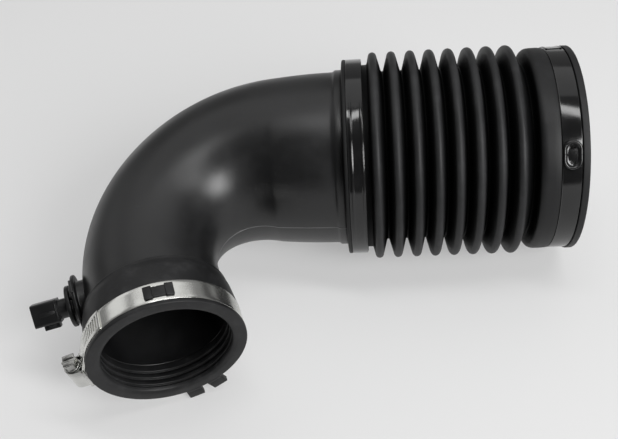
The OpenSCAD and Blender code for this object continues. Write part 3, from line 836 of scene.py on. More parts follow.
@dataclass
class ElbowDuct:
    """The moulded elbow: its tapered shell, its bead and the sensor's boss."""

    shop: Workshop
    sides: int = 112
    stations: int = 76
    taper_share: float = 0.86
    insert_l: float = 13.6
    bead_rise: float = 1.2
    boss_r: float = 17.0
    boss_bore_r: float = 7.5
    flange_t: float = 1.9
    known: dict[Vert, Vector] = field(default_factory=dict)

    def lengths(self) -> Triple:
        """Returns the lengths of the lead, the arc and the straight tail up to the cuff."""
        lay = self.shop.layout
        lead = lay.bend_start - self.taper_start()
        return lead, lay.bend_r * radians(lay.bend_angle), lay.run_out - lay.cuff_l

    def taper_start(self) -> float:
        """Returns the depth where the swell starts."""
        lay = self.shop.layout
        return lay.collar_end + lay.bead_l - 1

    def station(self, run: float, radius: float) -> Matrix:
        """Returns the place and size of a cross section.

        Args:
            run: Distance along the centre line from where the swell starts.
            radius: Radius of the section.

        Returns:
            A matrix that takes a unit circle in the XY plane to the section.
        """
        lay = self.shop.layout
        lead, bow, tail = self.lengths()
        angle = min(max((run - lead) / lay.bend_r, 0.0), radians(lay.bend_angle))
        lean = radians(lay.mouth_angle)
        if run <= lead:
            at = Vector((-(self.taper_start() + run), 0.0, 0.0))
        elif run <= lead + bow:
            at = Vector((-(lay.bend_start + lay.bend_r * sin(angle)), -lay.bend_r * (1 - cos(angle)), 0.0))
        else:
            rest = lead + bow + tail - run + lay.cuff_l
            at = Vector((lay.mouth[0] - rest * cos(lean), lay.mouth[1] + rest * sin(lean), 0.0))
        across = Vector((-sin(angle), cos(angle), 0.0))
        up = Vector((0.0, 0.0, 1.0))
        axes = Matrix((across, up, across.cross(up))).transposed().to_4x4()
        return Matrix.Translation(at) @ axes @ Matrix.Scale(radius, 4)

    def radius(self, run: float) -> float:
        """Works out the outer radius of the tapered part.

        Args:
            run: Distance along the centre line from where the swell starts.

        Returns:
            The radius.
        """
        lay = self.shop.layout
        share = min(max(run / (sum(self.lengths()) * self.taper_share), 0.0), 1.0)
        return lay.end_r + (lay.spigot_r - lay.end_r) * (1 + cos(pi * share)) / 2

    def sections(self) -> list[tuple[float, float]]:
        """Returns distance and radius of every section, outside first and then back inside."""
        lay = self.shop.layout
        length = sum(self.lengths())
        end = length + lay.cuff_l - lay.throttle_depth
        start = lay.collar_end - self.insert_l - self.taper_start()
        bead = lay.collar_end + 0.1 - self.taper_start()
        top = lay.spigot_r + self.bead_rise
        runs = [length * k / self.stations for k in range(1, self.stations + 1)]
        outer = [(start, lay.spigot_r - 0.8), (start + 1.2, lay.spigot_r), (bead, lay.spigot_r)]
        outer += [(bead, top - 0.35), (bead + 0.1, top - 0.1), (bead + 0.4, top), (bead + 3.9, top)]
        outer += [(bead + 4.6, top - 0.25), (bead + 5.2, top - 0.75), (bead + 5.8, top - 1.1)]
        outer += [(run, self.radius(run)) for run in runs if run > bead + 6.6]
        outer += [(end - 1, lay.end_r), (end - 0.3, lay.end_r - 0.2), (end, lay.end_r - 0.7)]
        inner = [(end, lay.end_r - lay.wall + 0.5), (end - 0.5, lay.end_r - lay.wall)]
        inner += [(run, self.radius(run) - lay.wall) for run in reversed(runs[::2])]
        return outer + inner + [(start, lay.spigot_r - lay.wall)]

    def shell(self, bm: Mesh) -> None:
        """Lofts the shell by drawing one ring along all the sections and closing it.

        Args:
            bm: The mesh to add to.
        """
        verts = bmesh.ops.create_circle(bm, segments=self.sides, radius=1.0)["verts"]
        unit = [v.co.copy() for v in verts]
        edges = start_edges = rim(verts)
        for k, (run, radius) in enumerate(self.sections()):
            if k > 0:
                verts, edges, _ = grown(bm, edges)
            place = self.station(run, radius)
            for vert, co in self.matched(verts, unit, k):
                vert.co = place @ co
        bmesh.ops.bridge_loops(bm, edges=start_edges + edges)

    def matched(self, verts: Sequence[Vert], unit: Sequence[Vector], k: int) -> list:
        """Pairs the vertices of a ring with the points of the unit circle.

        Args:
            verts: Vertices of the ring, still where the ring before it lies.
            unit: Points of the unit circle.
            k: Number of the ring.

        Returns:
            Pairs of a vertex and its point on the unit circle.
        """
        if k == 0:
            self.known = dict(zip(verts, unit))
        else:
            new = set(verts)
            before = {v: next(o for e in v.link_edges if (o := e.other_vert(v)) not in new) for v in verts}
            self.known = {v: self.known[other] for v, other in before.items()}
        return list(self.known.items())

    def boss(self, bm: Mesh) -> None:
        """Shapes the boss that the sensor is locked into, with its bore.

        Args:
            bm: The mesh to add to.
        """
        top, bore, neck = self.shop.layout.boss_top, self.boss_bore_r, self.boss_r - 4.0
        under = top - self.flange_t
        revolved(bm, softened([
            (bore, 30.0), (neck, 35.5), (neck, under, 1.2), (self.boss_r, under, 0.5),
            (self.boss_r, top, 0.7), (bore, top, 0.5),
        ]), 96)
        for angle in (90, 270):
            spun(bm, block(bm, (6.0, 9.0, 2.2), (self.boss_r - 2.4, 0, top - 0.4), 0.6), angle)

    def build(self) -> None:
        """Makes the elbow."""
        shop, lay = self.shop, self.shop.layout
        material = MouldedFinish(
            "duct_plastic", (0.006, 0.0061, 0.0064), (0.022, 0.022, 0.023), 0.37, 0.04, 1500.0, 0.000035,
            seam=True, gloss=0.5,
        ).make(shop.shelf)
        boss_place = lay.at_sensor() @ turned("Z", -45)
        shop.piece("elbow_shell", self.shell, lay.in_bend(), material, Slot.DUCT, ("elbow_duct",))
        shop.piece("sensor_boss", self.boss, boss_place, material, Slot.DUCT, ("elbow_duct",))


# Bellows


@dataclass
class BellowsSleeve:
    """The rubber bellows with its air box cuff and its collar, one moulding."""

    shop: Workshop
    tip_r: float = 2.6
    root_r: float = 0.8
    wall: float = 2.2
    lip_r: float = 63.0
    cuff_r: float = 62.5
    seat_r: float = 61.3
    bore_r: float = 56.5
    collar_r: float = 61.3
    neck_r: float = 57.5
    band_seat: tuple[float, float] = (4.0, 15.8)
    cuff_depth: float = 22.4
    strap_seat: float = 10.1
    spigot_bore_r: float = 54.05
    spigot_depth: float = 14.2
    arc_steps: int = 12

    def folds(self, tip: float, root: float, inwards: bool) -> Profile:
        """Returns one side of all the folds.

        Args:
            tip: Radius of a crest's tip.
            root: Radius at the bottom of a fold.
            inwards: Whether the points run from the air box to the elbow.

        Returns:
            Radius and depth of each point.
        """
        lay = self.shop.layout
        crest_c = lay.crest_r - self.tip_r
        root_c = lay.valley_r + self.root_r
        half = lay.fold_pitch / 2
        rise = crest_c - root_c
        lean = atan2(half, rise) - asin((self.tip_r + self.root_r) / hypot(half, rise))
        span = 90 - degrees(lean)
        points: Profile = []
        for k in range(lay.fold_count):
            depth = lay.last_crest + k * lay.fold_pitch
            points += arc(crest_c, depth, tip, -span, span, self.arc_steps)
            if k < lay.fold_count - 1:
                points += arc(root_c, depth + half, root, 180 + span, 180 - span, self.arc_steps)
        return points if inwards else points[::-1]

    def section(self) -> Profile:
        """Returns the closed outline of the sleeve's wall."""
        lay = self.shop.layout
        seat, seat_end = self.band_seat
        lip, cuff, neck, collar, root = self.lip_r, self.cuff_r, self.neck_r, self.collar_r, lay.valley_r
        end, first, last = lay.airbox_cuff_end, lay.first_crest, lay.last_crest
        strap = lay.collar_start + self.strap_seat
        outer = softened([
            (self.bore_r + 1.0, 0.0), (lip, 0.0, 1.0), (lip, seat, 0.5), (self.seat_r, seat),
            (self.seat_r, seat_end), (cuff - 0.3, seat_end, 0.35), (cuff, seat_end + 2.6, 1.2),
            (cuff - 0.1, end, 4.2), (root + 3.0, end + 0.4, 1.0), (root, end + 1.4, 1.0),
            (root, last - 5.4, 0.6),
        ], 6, closed=False)[:-1]
        outer += self.folds(self.tip_r, self.root_r, True)
        outer += softened([
            (neck + 0.3, first + 3.7), (neck, first + 4.2, 0.4), (neck, lay.collar_start),
            (collar - 1.0, lay.collar_start), (collar - 1.0, strap), (collar, strap, 0.15),
            (collar, lay.collar_end, 1.9), (self.spigot_bore_r + 0.55, lay.collar_end),
        ], 6, closed=False)
        stop = lay.collar_end - self.spigot_depth
        bore, inside = self.spigot_bore_r, root - self.wall
        inner = [(bore, lay.collar_end - 0.6), (bore, stop)]
        inner += [(neck - self.wall, stop), (neck - self.wall, first + 3.0)]
        inner += self.folds(self.tip_r - self.wall, self.root_r + self.wall, False)
        inner += [(inside, last - 4.6), (inside, self.cuff_depth)]
        inner += [(self.bore_r, self.cuff_depth), (self.bore_r, 1.0)]
        return outer + inner

    def shape(self, bm: Mesh) -> None:
        """Spins the sleeve."""
        revolved(bm, self.section(), 180)

    def build(self) -> None:
        """Makes the sleeve."""
        shop, lay = self.shop, self.shop.layout
        # crest_r gives the folds painted highlights on their crests and painted shade in their valleys.
        rubber = MouldedFinish(
            "bellows_rubber", (0.0035, 0.0036, 0.0038), (0.030, 0.0303, 0.0315), 0.55, 0.06, 1900.0, 0.00003,
            crest_r=lay.crest_r, gloss=0.28, dust=0.35,
        ).make(shop.shelf)
        place = lay.along_bellows()
        shop.piece("bellows_sleeve", self.shape, place, rubber, Slot.BELLOWS, ("bellows",), sharp=40)


# Crimped bands


@dataclass
class CrimpBand:
    """A closed black band with a strap that laps over it and, on one of them, a pinched closure."""

    shop: Workshop
    node: str
    start: float
    width: float
    inner_r: float
    thick: float
    strap_width: float
    strap: tuple[float, float]
    strap_shift: float = 0.0
    ear_at: float | None = None
    ear_l: float = 17.0
    ear_steps: tuple[tuple[float, float], ...] = (
        (0.1, 0.5), (0.2, 0.4), (0.3, 0.3), (0.4, 0.1), (0.4, -0.1), (0.4, -0.3), (0.4, -0.45), (0.4, -0.45),
        (0.7, -0.1),
    )

    def ring(self, bm: Mesh) -> None:
        """Spins the band itself, with rolled edges.

        Args:
            bm: The mesh to add to.
        """
        r, top, w = self.inner_r, self.inner_r + self.thick, self.width
        mid = (r + top) / 2
        revolved(bm, softened([
            (r, 0.15), (mid, 0.0, 0.2), (top, 0.2, 0.35), (top, w - 0.2, 0.35), (mid, w, 0.2), (r, w - 0.15),
        ]), 180)

    def lap(self, bm: Mesh) -> None:
        """Sweeps the strap that laps over the band, with raised edges.

        Args:
            bm: The mesh to add to.
        """
        r = self.inner_r + self.thick - 0.1
        low = (self.width - self.strap_width) / 2 - self.strap_shift
        high = low + self.strap_width
        start, end = self.strap
        edge, floor = r + 0.8, r + 0.5
        swept(bm, softened([
            (r, low, 0.1), (edge, low, 0.4), (edge, low + 1.0, 0.4), (floor, low + 1.5, 0.3),
            (floor, high - 1.5, 0.3), (edge, high - 1.0, 0.4), (edge, high, 0.4), (r, high, 0.1),
        ]), start, end, int((end - start) / 1.5))

    def ear(self, bm: Mesh) -> None:
        """Shapes the pinched closure: a raised oval pad with a hollow in it.

        Args:
            bm: The mesh to add to.
        """
        foot = 0.3
        prism(bm, rounded_box(self.width - 0.1, self.ear_l, self.width / 2 - 0.1, 12), 0.0, foot)
        top = faces_over(bm, foot - 0.1)
        for inwards, rise in self.ear_steps:
            bmesh.ops.inset_region(bm, faces=top, thickness=inwards, depth=rise)
        reach = self.inner_r + self.thick - foot
        lie = turned("Z", self.ear_at or 0.0) @ shifted(reach, 0, self.width / 2) @ turned("Y", 90)
        bmesh.ops.transform(bm, matrix=lie, verts=bm.verts)

    def build(self) -> None:
        """Makes the band, its strap and its closure."""
        shop, lay = self.shop, self.shop.layout
        middle = lay.bore_offset - self.start - self.width / 2
        # edges and edge_colour paint the band's rolled edges lighter: bare metal there, and a painted
        # highlight along them.
        lacquer = MetalFinish(
            self.node + "_black", (0.007, 0.007, 0.0072), (0.010, 0.010, 0.0103), 0.13, 0.02,
            stretch=(3200.0, 40.0, 40.0), depth=0.000006, metallic=0.0, edges=(middle, self.width / 2),
            edge_colour=(0.10, 0.10, 0.10),
        ).make(shop.shelf)
        place = lay.along_bellows() @ shifted(0, 0, self.start)
        shapes = [("_ring", self.ring), ("_strap", self.lap)]
        if self.ear_at is not None:
            shapes.append(("_closure", self.ear))
        for suffix, shape in shapes:
            shop.piece(self.node + suffix, shape, place, lacquer, Slot.BAND, (self.node,))


# Throttle cuff


@dataclass
class ThrottleCuff:
    """The rubber cuff at the throttle: lip, sealing lands, lock tab and two lugs."""

    shop: Workshop
    lip_r: float = 44.2
    lip_t: float = 2.6
    edge_r: float = 41.1
    bore_r: float = 35.8
    land_count: int = 4
    groove: float = 1.2
    lug_t: float = 3.2
    beside_band: float = 45.3
    seat_end: float = 15.2
    tab_half: float = 9.3
    tab_w: float = 6.8

    def section(self) -> Profile:
        """Returns the closed outline of the cuff's wall."""
        lay = self.shop.layout
        pitch = lay.throttle_depth / self.land_count
        seat, end, length = lay.cuff_seat_r, -self.seat_end, lay.cuff_l
        lip, edge, inside, bore = self.lip_r, self.edge_r, lay.end_r + 0.05, self.bore_r
        stop, ridge = 0.05 - lay.throttle_depth, self.bore_r + self.groove
        corners: list[tuple[float, ...]] = [
            (lip, 0.0, 0.8), (lip, -self.lip_t, 0.6), (seat, -self.lip_t, 0.1), (seat, end, 0.1),
            (seat + 0.6, end, 0.4), (edge + 1.2, 6 - length, 2.0), (edge, 2.0 - length, 0.8),
            (edge + 0.1, -length, 0.9), (inside, -length, 0.3), (inside, stop), (bore, stop, 0.4),
        ]
        for k in range(self.land_count - 1, 0, -1):
            deep = -k * pitch
            corners += [(bore, deep, 0.8), (ridge, deep + 0.1, 0.4)]
            corners += [(ridge, deep + 1.1, 0.4), (bore, deep + 1.9, 0.9)]
        return softened(corners + [(bore, -2.5, 0.8), (bore + 0.7, -0.9, 0.7), (bore + 2.6, 0.0, 0.9)], 4)

    def sleeve(self, bm: Mesh) -> None:
        """Spins the cuff."""
        revolved(bm, self.section(), 160)

    def lugs(self, bm: Mesh) -> None:
        """Adds the two lugs at the mouth, thinner beside the band.

        Args:
            bm: The mesh to add to.
        """
        lay = self.shop.layout
        spans = (
            (lay.cuff_seat_r - 0.8, self.beside_band, self.lip_t),
            (self.beside_band - 0.3, lay.lug_reach, self.lug_t),
        )
        for at in lay.lug_at:
            for start, end, thick in spans:
                lug = block(bm, (end - start, lay.lug_w, thick), ((end + start) / 2, 0, -thick / 2), 0.4)
                spun(bm, lug, at)

    def tab(self, bm: Mesh) -> None:
        """Sweeps the tab that comes through the band's window, with a bar at each end.

        Args:
            bm: The mesh to add to.
        """
        lay, half = self.shop.layout, self.tab_half
        low, high = -lay.band_mid - self.tab_w / 2, -lay.band_mid + self.tab_w / 2
        r, top = lay.cuff_seat_r - 0.6, lay.cuff_seat_r + 1.6
        section = softened([(r, low), (top, low, 0.7), (top, high, 0.7), (r, high)])
        swept(bm, section, lay.tab_at - half, lay.tab_at + half, 12)
        for side in (-1, 1):
            bar = block(bm, (1.2, 4.6, 8.0), (top, 0, -lay.band_mid), 0.55)
            spun(bm, bar, lay.tab_at + side * (half - 2.0))

    def build(self) -> None:
        """Makes the cuff."""
        shop, lay = self.shop, self.shop.layout
        place = lay.at_mouth()
        axis = place.col[2].to_3d()
        level = axis.dot(place.translation) * MM
        # The rim paints a lighter line along the cuff's far rounded edge, a painted highlight, in
        # line_colour.
        rubber = MouldedFinish(
            "cuff_rubber", (0.007, 0.0071, 0.0075), (0.034, 0.034, 0.035), 0.52, 0.06, 1700.0, 0.00003,
            gloss=0.3, dust=0.5, rim=(tuple(axis), level, (lay.cuff_l - 0.1) * MM),
            line_colour=(0.05, 0.05, 0.051),
        ).make(shop.shelf)
        for name, shape, sharp in (
            ("cuff_sleeve", self.sleeve, 40.0), ("cuff_lugs", self.lugs, 34.0), ("cuff_tab", self.tab, 34.0),
        ):
            shop.piece(name, shape, place, rubber, Slot.CUFF, ("throttle_cuff",), sharp=sharp)


# Worm clamp


@dataclass
class WormClamp:
    """The bright slotted band with its saddle, housing and worm."""

    shop: Workshop
    housing_l: float = 15.0
    sheet: float = 0.8
    pitch: float = 2.2
    slot_share: float = 0.45
    side_margin: float = 2.1
    window_w: float = 7.2
    window_half: float = 9.9
    tail_end: float = 58.0
    facet: float = 1.6
    core_depth: float = 1.1
    thread_steps: int = 28
    axle_r: float = 0.02
    journal_r: float = 2.9
    head_gap: float = 0.5
    hexagon_r: float = 4.3

    def path_point(self, angle: float, level: float) -> Vector:
        """Returns a point of the band's line.

        Args:
            angle: Angle in degrees from the middle of the clamp.
            level: Height over the band's inner face.

        Returns:
            The point, across the cuff's axis.
        """
        lay = self.shop.layout
        half, flat = self.housing_l / 2, lay.flat_level + level
        radius = lay.cuff_seat_r + lay.seat_gap + level
        turn = radians((angle + 180) % 360 - 180)
        edge = atan2(half, flat)
        leave = edge + acos(radius / hypot(half, flat))
        if abs(turn) >= leave:
            reach = radius
        elif abs(turn) <= edge:
            reach = flat / cos(turn)
        else:
            a, b = Vector((flat, half)), radius * Vector((cos(leave), sin(leave)))
            ray = Vector((cos(abs(turn)), sin(abs(turn))))
            across = b - a
            det = ray.x * -across.y + ray.y * across.x
            reach = (a.x * -across.y + a.y * across.x) / det
        return Vector((reach * cos(turn), reach * sin(turn)))

    def strip(
        self, bm: Mesh, start: float, end: float, level: float,
        slots: tuple[float, float], window: tuple[float, float] | None,
    ) -> None:
        """Draws a strip of the band's sheet along its path and opens its slots and window.

        Args:
            bm: The mesh to add to.
            start: First angle from the middle of the clamp.
            end: Last angle.
            level: Height of the strip's inner face over the band's.
            slots: Angles between which the worm's slots lie.
            window: Angles between which the lock tab's window lies, if it has one.
        """
        lay = self.shop.layout
        middle, half = lay.band_w / 2, self.window_w / 2
        low, high = self.side_margin, lay.band_w - self.side_margin
        rows = [0.0, low, middle - half, middle + half, high, lay.band_w]
        step = degrees(self.pitch / (lay.cuff_seat_r + 0.9))
        firsts = [slots[0] + k * step for k in range(int((slots[1] - slots[0]) / step))]
        gaps = [(at, at + self.slot_share * step, low, high) for at in firsts]
        if window is not None:
            gaps.append((*window, middle - half, middle + half))
        sides = {angle for gap in gaps for angle in gap[:2]}
        count = int((end - start) / self.facet)
        even = {start + (end - start) * k / count for k in range(count + 1)}
        spare = {a for a in even if start < a < end and min(abs(a - side) for side in sides) < 0.4}
        angles = sorted((even - spare) | sides)
        verts = [bm.verts.new((*self.path_point(start, level), z)) for z in rows]
        edges = [bm.edges.new(pair) for pair in zip(verts, verts[1:])]
        doomed = []
        for before, here in zip(angles, angles[1:]):
            verts, edges, faces = grown(bm, edges)
            for vert in verts:
                vert.co.xy = self.path_point(here, level)
            at = (before + here) / 2
            heights = {face: face.calc_center_median().z for face in faces}
            doomed += [f for f, z in heights.items() if any(a < at < b and c < z < d for a, b, c, d in gaps)]
        bmesh.ops.delete(bm, geom=doomed, context="FACES")

    @staticmethod
    def thicken(piece: Thing, thick: float, rounding: float) -> None:
        """Gives a sheet its thickness and soft edges.

        Args:
            piece: The sheet.
            thick: Its thickness.
            rounding: Width of the rounding of its edges.
        """
        wall = piece.modifiers.new("sheet", "SOLIDIFY")
        wall.thickness = thick * MM
        wall.offset = 1.0
        edge = piece.modifiers.new("soft_edges", "BEVEL")
        edge.width = rounding * MM
        edge.segments = 2
        edge.limit_method = "ANGLE"
        edge.angle_limit = radians(50)

    def band(self, bm: Mesh) -> None:
        """Draws the band once round the cuff, with its window.

        Args:
            bm: The mesh to add to.
        """
        at = self.shop.layout.tab_at - self.shop.layout.clamp_at
        self.strip(bm, -180.0, 180.0, 0.0, (30.0, 62.0), (at - self.window_half, at + self.window_half))

    def tail(self, bm: Mesh) -> None:
        """Draws the slotted tail that laps over the band and runs under the worm."""
        self.strip(bm, -self.tail_end, 9.0, self.shop.layout.band_t + 0.02, (3 - self.tail_end, -20.0), None)

    def hood_line(self) -> Profile:
        """Draws the housing's section: out from the cuff along x, across the band along y.

        Returns:
            The section's points, from one foot over the worm to the other.
        """
        lay = self.shop.layout
        dome = lay.worm_r + lay.worm_gap
        side = lay.band_w / 2 + 0.05
        shoulder = lay.flat_level + 2 * lay.band_t + 0.05
        right = [(lay.flat_level + 0.3, side), (shoulder, side, 0.5), (shoulder, dome + 0.4, 0.6)]
        rise = [(lay.screw_level, dome)] + arc(lay.screw_level, 0, dome, 84, 0, 12)
        half = softened(right + [rise[0]], 4, closed=False) + rise[1:]
        return half + [(x, -y) for x, y in reversed(half[:-1])]

    def hood(self, bm: Mesh) -> None:
        """Bends the housing's sheet over the worm.

        Args:
            bm: The mesh to add to.
        """
        half = self.housing_l / 2
        verts = [bm.verts.new((x, -half, y)) for x, y in self.hood_line()]
        edges = [bm.edges.new(pair) for pair in zip(verts, verts[1:])]
        for share in (0.1, 0.5, 0.9, 1.0):
            verts, edges, _ = grown(bm, edges)
            for vert in verts:
                vert.co.y = (2 * share - 1) * half

    def bearings(self, bm: Mesh) -> None:
        """Adds the housing's two end walls, with the holes that the worm turns in.

        Args:
            bm: The mesh to add to.
        """
        inner, outer, half = self.journal_r + 0.09, 4.6, self.housing_l / 2
        corners = [(inner, 0.0, 0.1), (outer, 0.0, 0.2), (outer, self.sheet, 0.2), (inner, self.sheet, 0.1)]
        for low in (-half, half - self.sheet):
            before = set(bm.verts)
            revolved(bm, softened(corners), 48)
            lie = shifted(self.shop.layout.screw_level, low, 0) @ turned("X", -90)
            bmesh.ops.transform(bm, matrix=lie, verts=[v for v in bm.verts if v not in before])

    def saddle(self, bm: Mesh) -> None:
        """Shapes the saddle plate under the band."""
        lay = self.shop.layout
        block(bm, (1.1, self.housing_l - 1, lay.band_w - 0.8), (lay.flat_level - 0.6, 0, 0), 0.25)

    def worm_frame(self) -> Matrix:
        """Returns the worm's own frame, z towards its head."""
        return self.shop.layout.at_clamp() @ shifted(self.shop.layout.screw_level, 0, 0) @ turned("X", -90)

    def thread(self, bm: Mesh) -> None:
        """Winds the worm's thread by spinning one tooth up the core.

        Args:
            bm: The mesh to add to.
        """
        crest, steps = self.shop.layout.worm_r, self.thread_steps
        root = crest - self.core_depth
        half = self.housing_l / 2 - self.sheet - 0.4
        foot, ends = root - 0.3, 0.75
        count = int((2 * half - 1.6) / self.pitch * steps)
        tooth = [(foot, -ends), (root, -ends), (crest, -0.3), (crest, 0.3), (root, ends), (foot, ends)]
        new = outline(bm, [(r, z - half + 0.8) for r, z in tooth])
        face = bmesh.ops.contextual_create(bm, geom=new)["faces"]
        bmesh.ops.spin(
            bm, geom=new + face, cent=(0, 0, 0), axis=(0, 0, 1), dvec=(0, 0, self.pitch / steps),
            angle=FULL_TURN * count / steps, steps=count, use_merge=False, use_duplicate=False,
        )
        revolved(bm, [(self.axle_r, -half), (root, -half), (root, half), (self.axle_r, half)], 40)

    def head(self, bm: Mesh) -> None:
        """Turns the journals and the flange, and adds the hexagon head with its driver slot.

        Args:
            bm: The mesh to add to.
        """
        base, flange = self.housing_l / 2 + self.head_gap, self.shop.layout.worm_r + 0.3
        stub, axle, journal = 3.6, self.axle_r, self.journal_r
        revolved(bm, softened([
            (axle, -base - 0.9), (stub, -base - 0.9, 0.3), (stub, -base, 0.2), (journal, -base),
            (journal, base), (flange, base, 0.3), (flange, base + 1.0, 0.4), (axle, base + 1.0),
        ]), 48)
        low, high = base + 0.9, base + 5.4
        prism(bm, arc(0, 0, self.hexagon_r, 0, 300, 5), low, high)
        bevelled(bm, {e for f in faces_over(bm, high - 0.01) for e in f.edges}, 0.5)
        for side in (-1, 1):
            block(bm, (6.6, 2.7, 0.9), (0, side * 2.15, high + 0.2), 0.4)

    def build(self) -> None:
        """Makes the clamp."""
        shop, lay = self.shop, self.shop.layout
        mouth, clamp, worm = lay.at_mouth(), lay.at_clamp(), self.worm_frame()
        turn = tuple(mouth.to_3x3().inverted().to_euler())
        strip, sheet, plated = (MetalFinish(*row, turn).make(shop.shelf) for row in (
            ("stainless_strip", (0.76, 0.76, 0.73), (0.70, 0.70, 0.67), 0.24, 0.04, (60.0, 60.0, 5200.0)),
            ("housing_sheet", (0.60, 0.60, 0.58), (0.40, 0.40, 0.385), 0.24, 0.08, (900.0, 900.0, 900.0)),
            ("plated_screw", (0.40, 0.40, 0.385), (0.28, 0.28, 0.27), 0.30, 0.08, (1200.0, 1200.0, 1200.0)),
        ))
        around = mouth @ turned("Z", lay.clamp_at) @ shifted(0, 0, -lay.band_mid - lay.band_w / 2)
        band = shop.piece("cuff_band_strip", self.band, around, strip, Slot.STEEL, ("cuff_band",))
        tail = shop.piece("cuff_band_tail", self.tail, around, strip, Slot.STEEL, ("cuff_band",))
        hood = shop.piece("worm_hood", self.hood, clamp, sheet, Slot.STEEL, ("worm_housing",))
        for piece in (band, tail):
            self.outward(piece, mouth)
            self.thicken(piece, lay.band_t - 0.04, 0.12)
        self.outward(hood, clamp @ shifted(lay.screw_level - 2, 0, 0) @ turned("X", 90))
        self.thicken(hood, self.sheet, 0.15)
        shop.piece("worm_bearings", self.bearings, clamp, sheet, Slot.STEEL, ("worm_housing",))
        shop.piece("worm_saddle_plate", self.saddle, clamp, sheet, Slot.STEEL, ("worm_saddle",))
        for name, shape in (("worm_thread", self.thread), ("worm_head", self.head)):
            shop.piece(name, shape, worm, plated, Slot.SCREW, ("worm_screw",), Body.WORM)

    @staticmethod
    def outward(piece: Thing, place: Matrix) -> None:
        """Turns an open sheet so that its faces look away from an axis.

        Args:
            piece: The sheet.
            place: A frame whose Z axis the faces look away from.
        """
        back = place.inverted() @ Matrix.Scale(1 / MM, 4)
        score = 0.0
        for face in piece.data.polygons:
            at = back @ face.center
            score += (back.to_3x3() @ face.normal).dot(Vector((at.x, at.y, 0.0))) * face.area
        if score < 0:
            piece.data.flip_normals()


# Sensor


